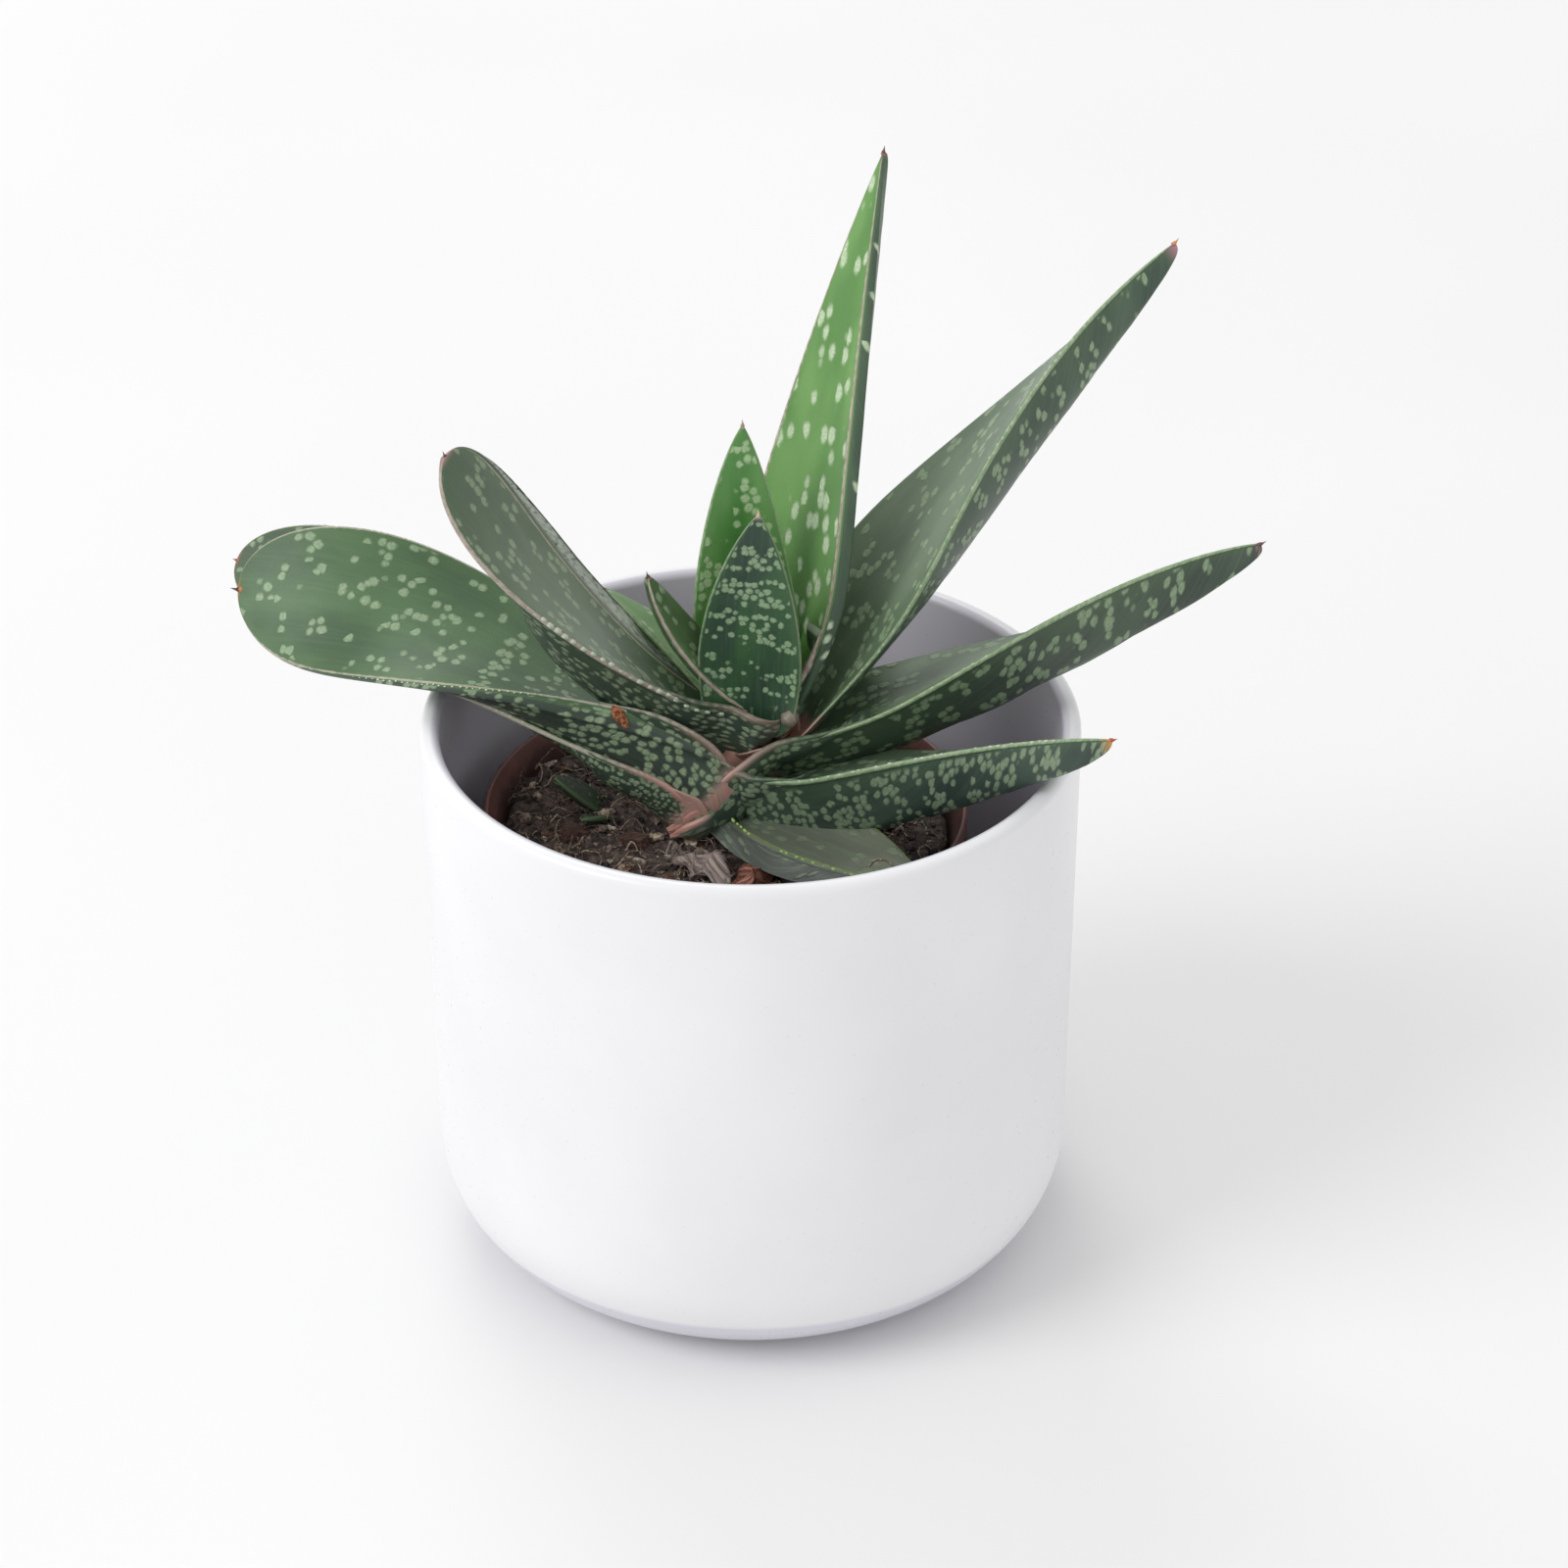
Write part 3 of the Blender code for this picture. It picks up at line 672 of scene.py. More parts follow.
def add_margin_beads(bm, layers, leaf, stations, shaping, hand, spec, seed):
    """A row of tubercles on one margin. spec: spacing and size in mm, and its stretch of t."""
    spacing, size, first, last = spec
    draw = random.Random(f"beads {seed} {hand}")
    travelled = 0.0
    wanted = 1.0
    for before, after in zip(stations, stations[1:]):
        start = margin_point(leaf, before, hand, shaping)
        end = margin_point(leaf, after, hand, shaping)
        stretch = (end - start).length
        _, across, up = leaf_frame(leaf, (before[0] + after[0]) / 2)
        while wanted < travelled + stretch:
            share = (wanted - travelled) / stretch
            t = before[0] + (after[0] - before[0]) * share
            grow = 0.75 + 0.5 * draw.random()
            side = draw.uniform(-0.5, 0.6)
            if first < t < last:
                fade = min(1, (t - first) / 0.06, (last - t) / 0.06)
                centre = start.lerp(end, share) + up * side * before[5] * 0.6
                add_bead(bm, layers, centre, (end - start).normalized(), across, up,
                         size * grow * (0.5 + 0.5 * fade), (1, t, 1))
            wanted += spacing * (0.8 + 0.4 * draw.random())
        travelled += stretch


def spot_layer(place, share_along, seed, spec):
    """Round pale spots. spec: cell and radius in mm, cover from 0 to 1, how long the crowds of
    spots are across and along the leaf in cells, and how much longer than wide a spot is."""
    cell, radius, cover, crowds, stretch = spec
    wobble = times(minus(grain(place, 0.8, 1.0), 0.5), 0.7)
    moved = node("ShaderNodeVectorMath", {0: place, 1: wobble}, operation="ADD").outputs[0]
    plane = scaled(moved, (1 / cell, 1 / (cell * stretch), 0), (seed * 3.7, seed * 1.9, 0))
    inputs = {"Vector": plane, "Scale": 1.0, "Randomness": 0.8}
    cells = node("ShaderNodeTexVoronoi", inputs, voronoi_dimensions="2D").outputs
    chance, size, _ = node("ShaderNodeSeparateColor", {0: cells["Color"]}).outputs
    shrunk = (1 / crowds[0], 1 / crowds[1], 0)
    bands = scaled(cells["Position"], shrunk, (seed * 5.1, 0, 0))
    crowd = grain(bands, 1.0, 1.0, kind="2D")
    crowd = plus(crowd, times(minus(chance, 0.5), 0.22))
    crowd = plus(crowd, times(step(share_along, 0.45, 0.0), 0.1))
    threshold = 0.5 + 0.32 * (0.5 - cover)
    present = step(crowd, threshold - 0.02, threshold + 0.02)
    size = times(spread(size, 0.72 * radius / cell, 1.12 * radius / cell), present)
    inside = minus(size, cells["Distance"])
    return times(step(inside, -0.18, 0.14), present)


def leaf_material(name, seed, look):
    """Waxy green skin. look names its colours and its spots on each face."""
    material, tree = new_material(name)
    place = attribute(tree, "leaf_place")
    closeness, share, bead = parts(attribute(tree, "leaf_zone"))
    below = step(parts(place)[2], 0.35, 0.65)

    clouds = grain(scaled(place, (0.09, 0.03, 2.0), (seed, 0, 0)), 1.0, 3.0)
    clouds = step(clouds, 0.32, 0.68)
    # Painted shade: the lower face takes the look's under colours, which are darker copies of the
    # top colours.
    top, under = (blend(clouds, *look[face]) for face in ("top", "under"))
    skin = blend(below, top, under)
    glow = times(step(closeness, 0.7, 0.95), look["glow"])
    skin = blend(glow, skin, "547644")
    streaks = grain(scaled(place, (1.4, 0.05, 1.0), (0, seed, 0)))
    streaks = times(step(streaks, 0.45, 0.8), look["streaks"])
    skin = blend(streaks, skin, "748a6c")

    on_top = spot_layer(place, share, seed, look["spots_top"])
    on_under = spot_layer(place, share, seed + 7, look["spots_under"])
    spots = blend(below, on_top, on_under)
    spots = times(spots, step(closeness, 0.955, 0.91))
    mottle = grain(place, 1.6)
    spot_tint = blend(step(mottle, 0.35, 0.65), *look["spot"])
    skin = blend(times(spots, look["spot_strength"]), skin, spot_tint)

    rough_edge = grain(scaled(place, (1.0, 0.6, 1.0)))
    # Painted sheen: on the narrow third face outside the margin, the skin is mottled with the
    # look's pale silvery strip colour where that face catches the light.
    if look["strip"]:
        painted_sheen = times(step(bead, 0.05, 0.3), step(rough_edge, 0.2, 0.6))
        skin = blend(times(painted_sheen, 0.75), skin, look["strip"])
    edge = plus(closeness, times(minus(rough_edge, 0.5), 0.03))
    edge = step(edge, look["margin_start"], look["margin_start"] + 0.022)
    margin_tint = blend(step(rough_edge, 0.4, 0.6), *look["margin"])
    skin = blend(times(edge, look["margin_strength"]), skin, margin_tint)
    skin = blend(step(bead, 0.6, 0.9), skin, look["bead_colour"])

    blush = attribute(tree, "leaf_blush", "Fac")
    blush = plus(blush, times(minus(mottle, 0.5), 0.5))
    pink = blend(step(mottle, 0.3, 0.7), "ac968c", "987a6e")
    pink = blend(step(blush, 0.85, 1.15), pink, "ce988c")
    skin = blend(times(step(blush, 0.3, 1.0), 0.88), skin, pink)
    skin = blend(step(share, look["tip_start"], 1.005), skin, look["tip"])
    skin = blend(step(share, 1.05, 1.15), skin, look["point"])

    fine = grain(place, 3.0, 3.0, 0.6)
    height = plus(spots, times(fine, 0.5))
    finish_skin(skin, spread(fine, 0.34, 0.5), height, 0.00018, 0.8)
    shader = tree.nodes["Principled BSDF"].inputs
    shader["Coat Weight"].default_value = 0.12
    shader["Coat Roughness"].default_value = 0.35
    return material


DARK = ("3e523e", "546a4e")
PALE_SPOT = ("8ca47e", "a4ba96")
CREAM = ("b2b49e", "c4baac")
ROSE = ("aa9c90", "beb2a4")
LEAF_PALE = ("88a67a", "a6ba94")

def look(top, under, spot, margin, spots_top, spots_under, blush, **special):
    """How a leaf's skin looks. top, under, spot and margin are pairs of colours, under being darker
    copies of top for painted shade on the lower face, blush is how far in mm the pink goes on the
    face and on the margin, and bead holds spacing, size and stretch of the tubercles on each hand's
    margin."""
    plain = dict(glow=0.16, streaks=0.14, spot_strength=0.78, strip=None, margin_start=0.966,
                 margin_strength=0.8, bead=None, bead_colour="ced0be", tip="ac887c",
                 tip_start=0.985, point="603e34", mucro=0.55, trim=0.0)
    return dict(plain, top=top, under=under, spot=spot, margin=margin, spots_top=spots_top,
                spots_under=spots_under, blush=blush, **special)


LEAF_LOOKS = {
    "leaf_left_1": look(DARK, ("2a3a32", "3a4c40"), PALE_SPOT, CREAM,
        (2.0, 0.8, 0.3, (2.5, 2.5), 1.0), (1.5, 0.62, 0.6, (4, 2.0), 0.9), (4, 24),
        bead={-1: (1.5, 0.24, 0.2, 0.95), 1: (1.6, 0.3, 0.4, 0.95)}, tip="be6e64", tip_start=0.99,
        margin_start=0.955, spot_strength=0.7),
    "leaf_left_2": look(("3c5a38", "4e7046"), ("2c3832", "3c4a40"), PALE_SPOT, CREAM,
        (2.3, 1.0, 0.22, (2.2, 2.6), 1.0), (1.8, 0.7, 0.6, (4, 2.2), 1.2), (3, 22),
        bead={1: (1.4, 0.28, 0.25, 0.92), -1: (1.6, 0.2, 0.3, 0.7)}, glow=0.2, mucro=0.85,
        tip="ce7e42", point="3e1e18", tip_start=0.992, margin_start=0.955, spot_strength=0.75),
    # leaf_left_3's strip colour is a painted sheen on its narrow third face.
    "leaf_left_3": look(("4e624c", "62745c"), ("304036", "465446"), ("8c9e7e", "a6b496"), ROSE,
        (2.2, 0.9, 0.3, (1.8, 4.0), 1.2), (1.5, 0.5, 0.75, (2.5, 4.0), 1.8), (3, 16),
        bead={-1: (2.4, 0.55, 0.1, 0.66), 1: (2.2, 0.2, 0.3, 0.9)}, bead_colour="bac4ae",
        tip="a07c78", margin_start=0.962, strip="ccd0c6", spot_strength=0.62),
    "leaf_left_4": look(("547e40", "648e4c"), ("42623c", "507244"), PALE_SPOT, LEAF_PALE,
        (1.8, 0.7, 0.2, (2, 3), 1.2), (1.8, 0.7, 0.3, (2, 3), 1.2), (3, 8)),
    "leaf_left_5": look(("4c6642", "5a764c"), ("425c3c", "526c46"), PALE_SPOT, ROSE,
        (1.8, 0.72, 0.35, (2, 4), 1.6), (1.8, 0.7, 0.4, (2, 4), 1.6), (3, 12), streaks=0.35),
    "leaf_heart_1": look(("48823a", "649a50"), ("3c6e34", "508240"), ("a0c28c", "bad2a6"),
        LEAF_PALE, (2.0, 0.8, 0.38, (2.5, 2.2), 1.2), (2.0, 0.8, 0.25, (2.5, 2.2), 1.1), (3, 10),
        tip="b0aa9c", point="9c8c7a"),
    "leaf_heart_2": look(("264032", "366036"), ("243a32", "2e4838"), ("8eac84", "a4be98"),
        LEAF_PALE, (1.55, 0.7, 0.3, (11, 2.4), 0.95), (1.5, 0.62, 0.3, (7, 2.3), 1.0), (2, 6),
        trim=0.14, margin_strength=0.65, tip="beb0a0", point="ceb49c", tip_start=0.97),
    "leaf_right_5": look(("568a40", "70a256"), ("364e3a", "465e46"), ("bed6ac", "dae6cc"),
        ("a88a86", "cabeb4"), (2.5, 0.95, 0.3, (2.0, 1.7), 1.8), (2.2, 0.7, -0.1, (2.6, 2.4), 1.6),
        (3, 12), tip="966c6c", margin_start=0.935),
    "leaf_right_4": look(("586e54", "70846a"), ("384c3e", "4a604c"), ("88a27c", "9eb290"),
        LEAF_PALE, (2.1, 0.85, 0.22, (2.4, 3.0), 1.3), (2.0, 0.85, 0.36, (3.5, 2.0), 1.1), (3, 10),
        bead={1: (1.7, 0.34, 0.1, 0.85)}, tip="aa7882", tip_start=0.97, bead_colour="b0bea0",
        point="d68c46"),
    "leaf_right_3": look(("4a5e48", "627a5a"), ("303e34", "425442"), ("7a9270", "8ea482"),
        LEAF_PALE, (2.2, 0.9, 0.25, (2.4, 4.0), 1.3), (2.0, 0.9, 0.35, (3.5, 2.2), 1.1), (3, 14),
        bead={1: (1.8, 0.24, 0.15, 0.9)}, tip="60424c", tip_start=0.975),
    "leaf_right_2": look(("4a5c4a", "5c6e58"), ("2a3a34", "384c40"), ("7a9274", "90a284"),
        LEAF_PALE, (2.2, 0.9, 0.3, (2.4, 4.0), 1.3), (1.8, 0.86, 0.6, (5.5, 1.9), 1.0), (3, 14),
        bead={1: (1.5, 0.28, 0.12, 0.92)}, tip="be8c46", tip_start=0.97, point="aa3c28"),
    "leaf_right_1": look(("5c6256", "707666"), ("303832", "424a42"), ("78886c", "889678"),
        ("62784a", "7c9458"), (2.2, 0.8, 0.1, (2.4, 4.0), 1.6), (1.7, 0.55, 0.5, (2.0, 5.0), 2.2),
        (3, 8), bead={1: (1.4, 0.38, 0.1, 0.95)}, streaks=0.5, spot_strength=0.4, glow=0.0,
        bead_colour="98b868", margin_start=0.95),
}


def build_leaves():
    for seed, (name, leaf) in enumerate(LEAVES.items()):
        skin = LEAF_LOOKS[name]
        seed = seed * 1.7 + 1
        material = leaf_material(name + "_skin", seed, skin)
        bm = leaf_bmesh(leaf, seed, skin["blush"], beads=skin["bead"], mucro=skin["mucro"],
                        shaping=SHAPING.get(name), trim=skin["trim"])
        object_from(bm, name + "_detailed", material, [name], 80)
        if name in SHEATHS:
            build_sheath(name, leaf, material)


# Where a leaf's front margin runs on over the crown, past the leaf's base, in mm: the side of the
# leaf, the shares of its length that the sheath covers first, how deep the curtain below it hangs,
# how pink the crest is where it leaves the leaf and at its end, its radius and its further path.
SHEATHS = rows(("hand", "follow", "fall", "blush", "radius", "wrap"), {
    "leaf_right_5": (1, (0.2, 0.12, 0.05), 5, (0.0, 0.7), 0.8,
                     [(9.5, -1.5, 127.5), (7.4, -3.2, 126.2), (5.4, -4.2, 124.3)]),
    "leaf_left_3": (-1, (0.3, 0.2, 0.1), 12, (0.0, 0.7), 0.85,
                    [(1.0, -6.0, 127.0), (5.2, -4.9, 126.0), (8.2, -2.6, 126.4)]),
    "leaf_right_3": (1, (0.22, 0.12, 0.04), 7, (0.0, 1.1), 0.8,
                     [(-3.4, -9.0, 116.0), (-8.2, -9.6, 112.0), (-12.6, -9.6, 108.0),
                      (-17.0, -9.0, 104.0)]),
    "leaf_left_2": (-1, (0.26, 0.16, 0.07), 10, (0.0, 0.9), 0.8,
                    [(-3.4, -8.6, 115.0), (0.6, -7.2, 113.4)]),
    "leaf_right_2": (1, (0.24, 0.14, 0.05), 9, (0.0, 1.2), 0.9,
                     [(-9.0, -10.6, 109.8), (-13.6, -11.0, 106.6), (-18.6, -9.8, 102.8)]),
    "leaf_left_1": (-1, (0.26, 0.16, 0.07), 8, (0.1, 1.1), 0.75,
                    [(-12.2, -10.8, 108.2), (-7.0, -10.8, 106.2)]),
    "leaf_right_1": (1, (0.16, 0.08), 5, (0.3, 1.2), 0.75,
                     [(-9.8, -12.2, 106.4), (-14.2, -12.0, 104.0), (-18.0, -10.6, 101.6)]),
})
# Beads below the crest: their spacing and size in mm, and the share of the sheath they end at.
SHEATH_BEADS = {"leaf_left_3": (2.4, 0.5, 0.55)}
STEM_MIDDLE = Vector((-8, 6, 0))
SHEATH_STATIONS = 50
SHEATH_STEPS = 8
KNOB_LEAF = "leaf_right_5"
KNOB_PLACE = Vector((8.3, -4.3, 126.4))
KNOB_RADIUS = 1.9


def sheath_section(radius, fall):
    """(out, down, closeness) in mm round a sheath: its crest, its curtain and the back of both."""
    section = [(0.0, -radius, 1.0), (0.75 * radius, -0.7 * radius, 1.0), (radius, 0.0, 0.98),
               (0.75 * radius, 0.7 * radius, 0.93)]
    for part in (0.2, 0.35, 0.5, 0.65, 0.8, 1.0):
        bulge = radius * 0.6 + 0.8 * sin(pi * part * 0.8) - 2.8 * part ** 2
        section.append((bulge, fall * part, 0.88 - 0.5 * part))
    for part in (1.0, 0.6, 0.25):
        section.append((-1.0 - 2.8 * part ** 2, fall * part, 0.5))
    return section + [(-radius, 0.0, 0.95), (-0.75 * radius, -0.7 * radius, 1.0)]


def build_sheath(name, leaf, material):
    """The rounded crest of a leaf's margin as it wraps the crown, and the skin below it. Both
    rise out of the leaf at one end and sink into the crown at the other."""
    spec = SHEATHS[name]
    shaping = SHAPING.get(name, {})
    stations, _ = leaf_stations(leaf, SHEATH_STATIONS, shaping)
    path = []
    for share in spec["follow"]:
        station = min(stations, key=lambda entry: abs(entry[0] - share))
        path.append(margin_point(leaf, station, spec["hand"], shaping))
    path = smooth_path(path + spec["wrap"], SHEATH_STEPS)
    whole = sum((after - before).length for before, after in zip(path, path[1:]))
    start, end = spec["blush"]
    spacing, size, last = SHEATH_BEADS.get(name, (1.0, 0.0, 0.0))
    bm = bmesh.new()
    layers = skin_layers(bm)
    gone, next_bead = 0.0, 1.0
    rings = []
    for i, place in enumerate(path):
        before, after = path[max(i - 1, 0)], path[min(i + 1, len(path) - 1)]
        along = (after - before).normalized()
        share = gone / whole
        away = place - STEM_MIDDLE
        outward = Vector((0.35 * away.x, min(away.y, -4), 0)).normalized()
        outward = (outward - along * outward.dot(along)).normalized()
        down = along.cross(outward)
        down = down if down.z < 0 else -down
        arrive, leave = eased(share / 0.4), eased((1 - share) / 0.3)
        radius = spec["radius"] * (0.2 + 0.8 * arrive) * (0.25 + 0.75 * leave)
        fall = spec["fall"] * (0.15 + 0.85 * arrive) * (0.3 + 0.7 * leave)
        centre = place - outward * (1 - arrive) * 0.5 - (outward - down) * (1 - leave) * 0.8
        pink = start + (end - start) * eased(share * 1.25)
        curtain_pink = end * eased((share - 0.65) / 0.35)
        ring = []
        for k, (out, drop, close) in enumerate(sheath_section(radius, fall)):
            vert = bm.verts.new(centre + outward * out + down * drop)
            crest = max(0, min(1, (close - 0.86) / 0.1))
            blush = curtain_pink + max(pink - curtain_pink, 0) * crest
            mark(layers, [vert], (drop + 0.3 * k, gone, 1.0), (close * 0.97, 0.03, 0), blush)
            ring.append(vert)
        rings.append(ring)
        if size and gone > next_bead and 0.2 < share < last:
            bead_place = centre + outward * radius * 0.8 + down * radius * 1.3
            add_bead(bm, layers, bead_place, along, outward, down, size, (1, 0.03, 1))
            next_bead = gone + spacing
        gone += (after - place).length
    caps = loft(bm, rings, middle(rings[0]), middle(rings[-1]))
    for cap, blush in zip(caps, spec["blush"]):
        mark(layers, [cap], (0, 0, 1), (0.9, 0.03, 0), blush)
    if name == KNOB_LEAF:
        knob = bmesh.ops.create_icosphere(bm, subdivisions=3, radius=KNOB_RADIUS)["verts"]
        for vert in knob:
            vert.co = KNOB_PLACE + vert.co * (1 + 0.25 * noise(vert.co))
        mark(layers, knob, (0, 0, 1), (0.9, 0.03, 0), 0.75)
    object_from(bm, name + "_sheath", material, None, 80)


# --- Stem


def stem_material():
    material, tree = new_material("stem_blush")
    place = object_place(tree)
    tint = blend(step(grain(place, 140.0, 3.0), 0.35, 0.65), "8c5c4e", "ba8e7e")
    veins = grain(scaled(place, (900, 900, 160)))
    tint = blend(times(step(veins, 0.45, 0.75), 0.35), tint, "d0b2a0")
    finish_skin(tint, 0.5, veins, 0.0002, 0.7)
    return material


def smooth_path(points, steps):
    """Points on a smooth curve through the given ones (Catmull-Rom)."""
    points = [Vector(point) for point in points]
    padded = [points[0] * 2 - points[1]] + points + [points[-1] * 2 - points[-2]]
    path = []
    for i in range(1, len(padded) - 2):
        before, start, end, after = padded[i - 1:i + 3]
        for k in range(steps):
            u = k / steps
            path.append(0.5 * ((2 * start) + (end - before) * u
                               + (2 * before - 5 * start + 4 * end - after) * u ** 2
                               + (3 * start - before - 3 * end + after) * u ** 3))
    path.append(points[-1])
    return path


def add_tube(bm, path, radii, sides, flatten=1.0, face=None, tint=None):
    """A closed tube along path. flatten squeezes it along face. tint is (layer, colour)."""
    rings = []
    normal = None
    for i, centre in enumerate(path):
        along = (path[min(i + 1, len(path) - 1)] - path[max(i - 1, 0)]).normalized()
        if face is not None:
            normal = (face - along * face.dot(along)).normalized()
        elif normal is None:
            normal = along.cross(Vector((0.31, 0.77, 0.55))).normalized()
        else:
            normal = (normal - along * normal.dot(along)).normalized()
        other = along.cross(normal)
        rings.append([bm.verts.new(centre + (normal * flatten * high + other * side) * radii[i])
                      for high, side in circle(sides)])
    ends = loft(bm, rings, path[0], path[-1])
    if tint:
        layer, colour = tint
        for vert in sum(rings, ends):
            vert[layer] = srgb(colour)


def build_stem():
    bm = bmesh.new()
    steps = 6
    path = smooth_path(STEM_AXIS, steps)
    radii = []
    for i in range(len(path)):
        near, far = (STEM_RADII[min(i // steps + k, len(STEM_RADII) - 1)] for k in (0, 1))
        radii.append(near + (far - near) * (i % steps) / steps)
    add_tube(bm, path, radii, 24)
    for vert in bm.verts:
        out = Vector((vert.co.x - STEM_MIDDLE.x, vert.co.y, 0)).normalized()
        vert.co += out * 0.5 * noise(vert.co * 0.5)
    object_from(bm, "stem_core", stem_material(), ["stem"])


# --- Compost and litter


def soil_height(x, y):
    """The CAD's soil surface in mm, at x and y in mm."""
    heap = SOIL_HEAP * exp(-((x + 12) ** 2 + (y + 2) ** 2) / 250)
    waves = sin(x / 6.1 + 0.7) * cos(y / 7.3) + 0.6 * sin((x + y) / 3.7)
    return SOIL_TOP + heap + SOIL_WAVE * waves


def crumbly_height(x, y):
    at = Vector((x, y, 0))
    lumps = 0.9 * noise(at * 0.28) + 0.7 * noise(at * 0.75) + 0.35 * noise(at * 1.9)
    return soil_height(x, y) + lumps


def soil_material():
    material, tree = new_material("compost_dark")
    place = object_place(tree)
    cloud = step(grain(place, 420.0, 4.0, 0.7), 0.35, 0.7)
    tint = blend(cloud, "3c3532", "7e6e66")
    fleck = step(grain(scaled(place, (900, 500, 900))), 0.66, 0.72)
    tint = blend(times(fleck, 0.6), tint, "846c5c")
    finish_skin(tint, 0.95, grain(place, 1500.0, 4.0, 0.7), 0.0005)
    return material


def litter_material():
    """Every grain and fibre carries its own colour, which the noise breaks up a little."""
    material, tree = new_material("compost_bits")
    place = object_place(tree)
    tint = attribute(tree, "bit_tint", "Color")
    dark = blend(1.0, tint, "78706c", "MULTIPLY")
    mottle = step(grain(place, 1300.0, 3.0, 0.65), 0.35, 0.65)
    tint = blend(mottle, dark, tint)
    finish_skin(tint, 0.85, grain(place, 2200.0, 3.0), 0.0003, 0.8)
    return material


SOIL_SIDES = 110
SOIL_RINGS = 46
GRAINS = 1700
GRAIN_STRETCH = ((1, 1.1), (0.7, 0.4), (0.5, 0.3))
FIBRES = 900
FIBRE_STEPS = 8


def in_pot(radius, angle):
    """The x and y of a place that far from the nursery pot's axis."""
    return NURSERY_CENTRE.x + radius * cos(angle), NURSERY_CENTRE.y + radius * sin(angle)


def build_soil_bed():
    bm = bmesh.new()
    shoulder = SOIL_TOP - SOIL_SHOULDER
    edge = inner_radius(shoulder) - 0.3
    bottom = NURSERY_BOTTOM + NURSERY_WALL + 0.8
    rings = []
    for radius, level in ((inner_radius(12) - 2, bottom), (inner_radius(14) - 0.5, 12),
                          (edge, shoulder)):
        rings.append([bm.verts.new((*in_pot(radius, tau * k / SOIL_SIDES), level))
                      for k in range(SOIL_SIDES)])
    for i in range(SOIL_RINGS):
        ring = []
        for k in range(SOIL_SIDES):
            x, y = in_pot(edge * (1 - i / SOIL_RINGS), tau * k / SOIL_SIDES)
            ring.append(bm.verts.new((x, y, crumbly_height(x, y) - (0 if i else 1.0))))
        rings.append(ring)
    x, y = NURSERY_CENTRE.xy
    loft(bm, rings, (x, y, bottom), (x, y, crumbly_height(x, y)))
    object_from(bm, "compost_bed", soil_material(), ["soil"], 50)


# Colours with their shares of the whole.
BIT_COLOURS = [
    ("362f2d", 18), ("504642", 24), ("70615a", 21), ("927e72", 14),
    ("b49e8a", 10), ("d4c2aa", 8), ("e4d8c4", 4), ("8a6250", 3),
]


def draw_colour(draw, palette):
    total = sum(weight for _, weight in palette)
    ticket = draw.random() * total
    for colour, weight in palette:
        ticket -= weight
        if ticket <= 0:
            return colour
    return palette[-1][0]


def soil_spot(draw):
    """A random place on the compost, at least a grain inside the pot's wall."""
    radius = (inner_radius(SOIL_TOP) - 1.5) * sqrt(draw.random())
    return in_pot(radius, tau * draw.random())


def build_grit():
    draw = random.Random("grit")
    bm = bmesh.new()
    tint_layer = bm.verts.layers.float_color.new("bit_tint")
    for _ in range(GRAINS):
        x, y = soil_spot(draw)
        size = 0.35 + 1.1 * draw.random() ** 2.5
        colour = srgb(draw_colour(draw, BIT_COLOURS))
        stretch = [least + more * draw.random() for least, more in GRAIN_STRETCH]
        turn = Matrix.Rotation(tau * draw.random(), 3, "Z")
        turn = turn @ Matrix.Rotation(draw.uniform(-0.6, 0.6), 3, "X")
        centre = Vector((x, y, crumbly_height(x, y) + size * 0.25))
        for vert in bmesh.ops.create_icosphere(bm, subdivisions=1, radius=size)["verts"]:
            rough = 1 + 0.35 * noise(vert.co * 2.3 + centre)
            vert.co = centre + turn @ Vector([vert.co[i] * stretch[i] * rough for i in range(3)])
            vert[tint_layer] = colour
    object_from(bm, "compost_grit", litter_material(), None, 40)


FIBRE_COLOURS = [
    ("5e524d", 18), ("7e6c63", 26), ("a08a7c", 22), ("c0aa96", 17),
    ("96705e", 6), ("dccab4", 11),
]


def build_fibres():
    draw = random.Random("fibres")
    bm = bmesh.new()
    tint_layer = bm.verts.layers.float_color.new("bit_tint")
    limit = inner_radius(SOIL_TOP) - 0.8
    for _ in range(FIBRES):
        x, y = soil_spot(draw)
        heading = tau * draw.random()
        length = 3 + 12 * draw.random() ** 1.8
        radius = 0.09 + 0.15 * draw.random()
        curl = draw.uniform(-0.5, 0.5)
        arch = 2.6 * draw.random() ** 2.2
        path = []
        for k in range(FIBRE_STEPS + 1):
            out = Vector((x, y)) - NURSERY_CENTRE.xy
            if out.length > limit:
                x, y = NURSERY_CENTRE.xy + out.normalized() * limit
            lift = radius + 0.35 + arch * sin(pi * min(1, k / FIBRE_STEPS * 1.25))
            path.append(Vector((x, y, crumbly_height(x, y) + lift)))
            heading += curl * draw.uniform(0.2, 1.4)
            x += cos(heading) * length / FIBRE_STEPS
            y += sin(heading) * length / FIBRE_STEPS
        distinct = [path[0]]
        for point in path[1:]:
            if (point - distinct[-1]).length > 0.15:
                distinct.append(point)
        if len(distinct) < 3:
            continue
        steps = len(distinct) - 1
        radii = [radius * (1 - 0.6 * abs(2 * k / steps - 1)) for k in range(steps + 1)]
        add_tube(bm, distinct, radii, 4, tint=(tint_layer, draw_colour(draw, FIBRE_COLOURS)))
    object_from(bm, "compost_fibres", litter_material(), None, 70)


# --- Bark, small leaves and loose bits


def lined_skin(place, scale, tones, roughness, distance):
    """Dry stuff with fine lines along it."""
    lines = grain(scaled(place, scale), 1.0, 3.0, 0.6)
    tint = blend(step(lines, 0.35, 0.65), *tones)
    finish_skin(tint, roughness, lines, distance, 0.9)


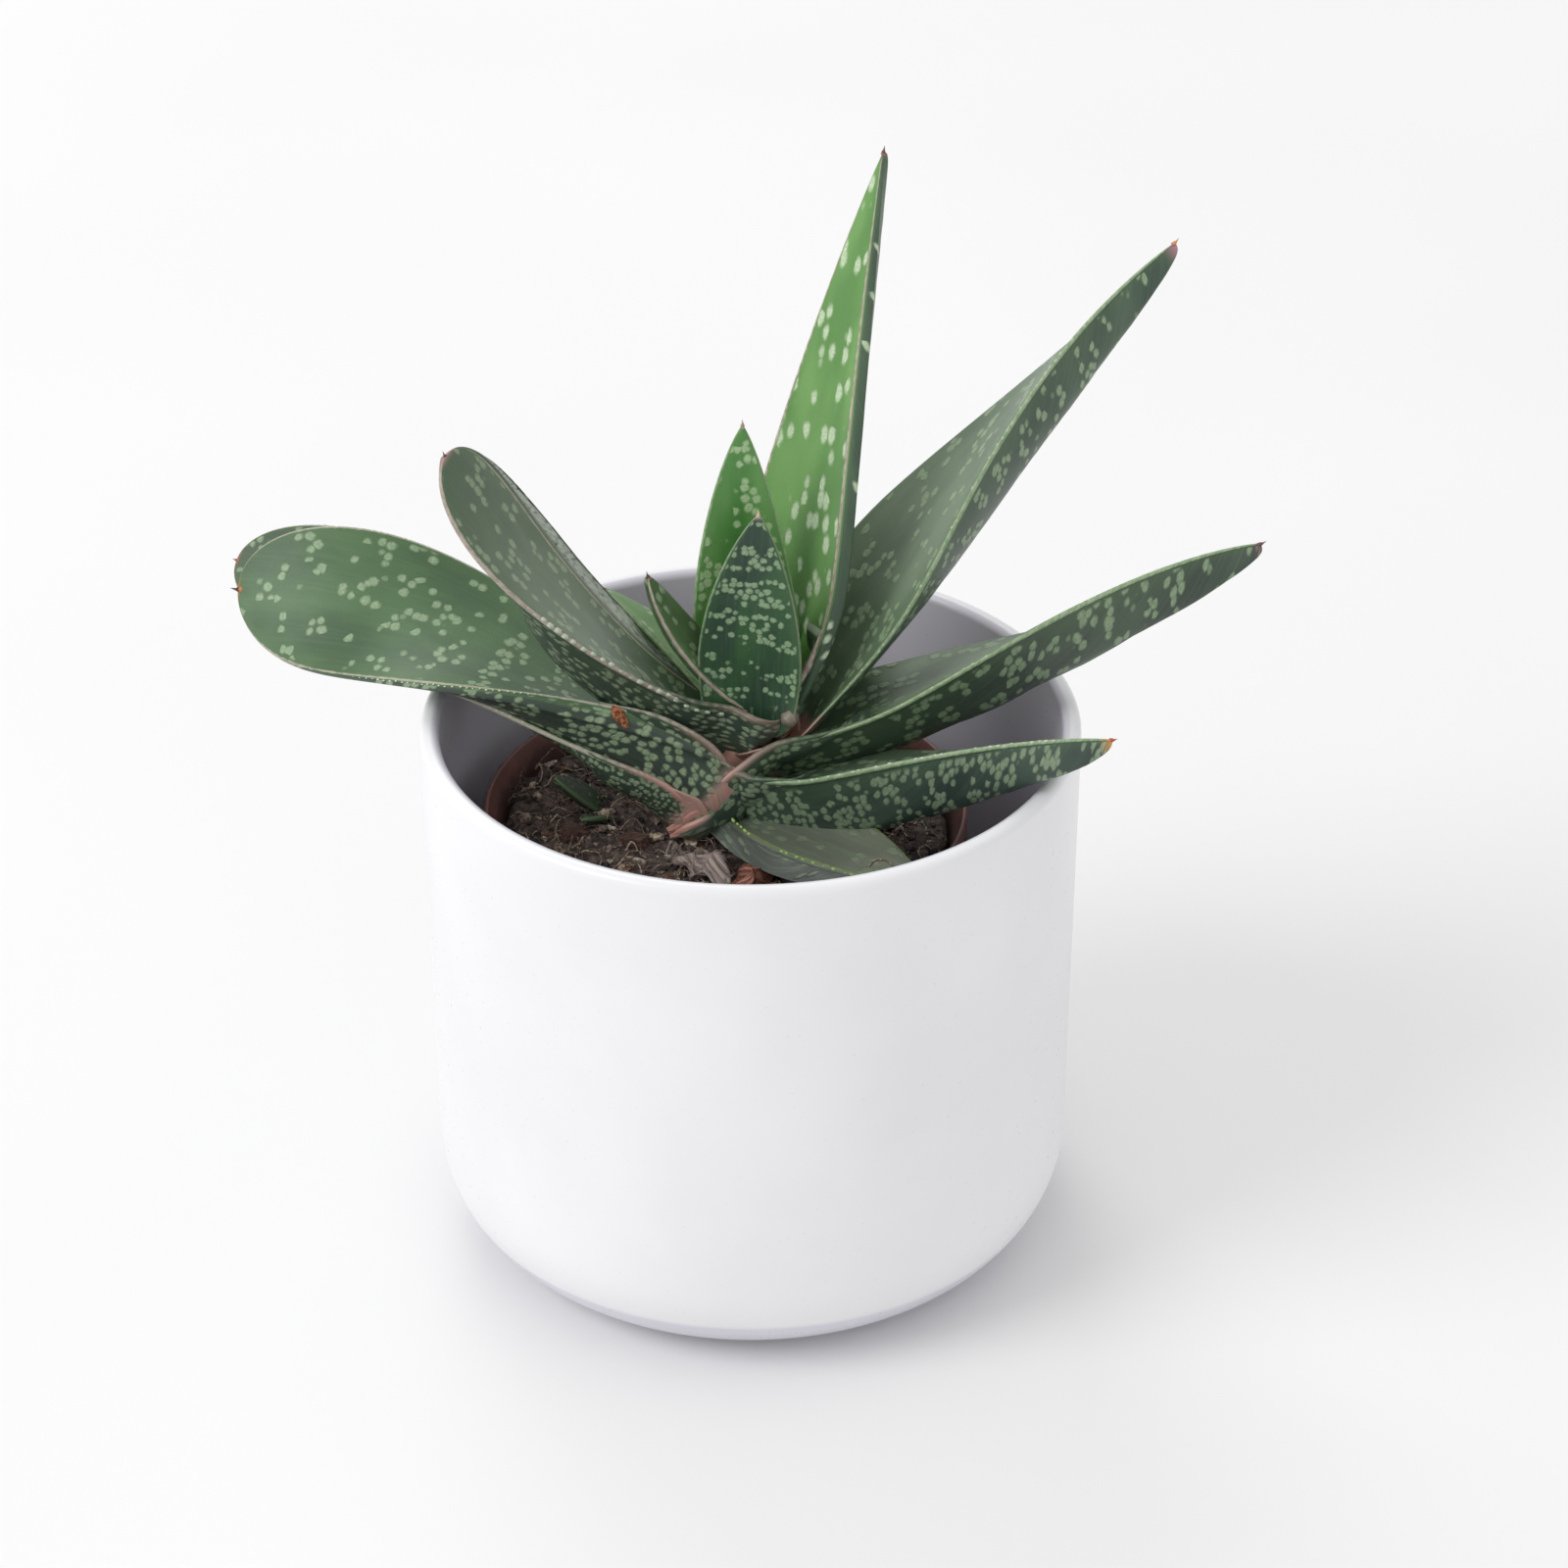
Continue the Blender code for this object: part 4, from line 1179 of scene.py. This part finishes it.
def build_bark():
    material, tree = new_material("bark_red")
    tones = "3e2c28", "6c4e42"
    lined_skin(object_place(tree), (300, 1400, 1400), tones, 0.85, 0.0004)
    for i, (centre, size, turn, tilt) in enumerate(BARK_CHIPS):
        bm = bmesh.new()
        bmesh.ops.create_cube(bm, size=1)
        bmesh.ops.subdivide_edges(bm, edges=bm.edges[:], cuts=5, use_grid_fill=True)
        place = Matrix.Rotation(radians(turn), 3, "Z") @ Matrix.Rotation(radians(tilt), 3, "Y")
        for vert in bm.verts:
            co = Vector([vert.co[k] * size[k] for k in range(3)])
            co.y *= 1 - 0.3 * (vert.co.x > 0)
            co *= 1 - 0.16 * abs(2 * vert.co.x) ** 4
            co += Vector((0.5, 0.5, 0.35)) * noise(vert.co * 6 + Vector((i * 9, 0, 0)))
            vert.co = place @ co + Vector(centre)
        object_from(bm, f"bark_chip_{i + 1}_rough", material, [f"bark_chip_{i + 1}"], 45)


def dry_material(name, tones):
    material, tree = new_material(name)
    lined_skin(attribute(tree, "leaf_place"), (2.2, 0.25, 1.0), tones, 0.8, 0.0005)
    return material


def build_small_leaves():
    spots = (1.3, 0.5, 0.4, (2, 2), 1.1)
    pup = look(("263e2c", "3a5638"), ("223628", "324a32"), ("68805c", "7c926c"),
               ("6e8260", "6e8260"), spots, spots, None)
    for seed, (name, leaf) in enumerate(SMALL_LEAVES.items()):
        seed += 40
        slot, crumple = "dry_leaf", 3.2
        if name == "dry_leaf_scrap":
            material = dry_material("scrap_grey", ("625450", "ac9e96"))
        elif name == "old_leaf_stub":
            material = dry_material("stub_pink", ("704236", "be8874"))
        else:
            material = leaf_material(name + "_skin", seed, pup)
            slot, crumple = "pup_skin", 0.0
        bm = leaf_bmesh(leaf, seed, (0.5, 1), rings=20, mucro=0, heel=0, crumple=crumple)
        object_from(bm, name + "_detailed", material, [name], 80)


SCALE_PATH = [(-28.6, -9.6, 133.0), (-27.6, -10.6, 130.6), (-25.8, -11.4, 128.0)]
THREAD_PATH = [(29.0, -36.0, 111.0), (27.4, -34.0, 111.5), (25.0, -33.2, 111.5),
               (23.6, -34.6, 111.0)]


def laid_on(name, points, height):
    """The points in mm moved onto a leaf's skin, and height above it."""
    mesh = bpy.data.objects[name].data
    skin = BVHTree.FromPolygons([vert.co for vert in mesh.vertices],
                                [face.vertices for face in mesh.polygons])
    found = [skin.find_nearest(Vector(point) * MM) for point in points]
    return [place / MM + normal * height for place, normal, _, _ in found]


def build_loose_bits():
    """A dry orange scale on the left leaves and a curled thread at the front right."""
    bm = bmesh.new()
    tint_layer = bm.verts.layers.float_color.new("bit_tint")
    path = smooth_path(laid_on("leaf_left_2_detailed", SCALE_PATH, 0.45), 4)
    radii = [0.2 + 1.1 * sin(pi * (i + 0.5) / len(path)) for i in range(len(path))]
    add_tube(bm, path, radii, 8, 0.25, Vector((0.3, -1, 0.5)), (tint_layer, "b27048"))
    path = smooth_path(laid_on("leaf_right_1_detailed", THREAD_PATH, 0.3), 5)
    add_tube(bm, path, [0.16] * len(path), 6, tint=(tint_layer, "bea692"))
    object_from(bm, "loose_bits", litter_material(), None, 70)


build_floor()
build_light()
build_cachepot()
build_nursery_pot()
build_leaves()
build_stem()
build_soil_bed()
build_grit()
build_fibres()
build_bark()
build_small_leaves()
build_loose_bits()
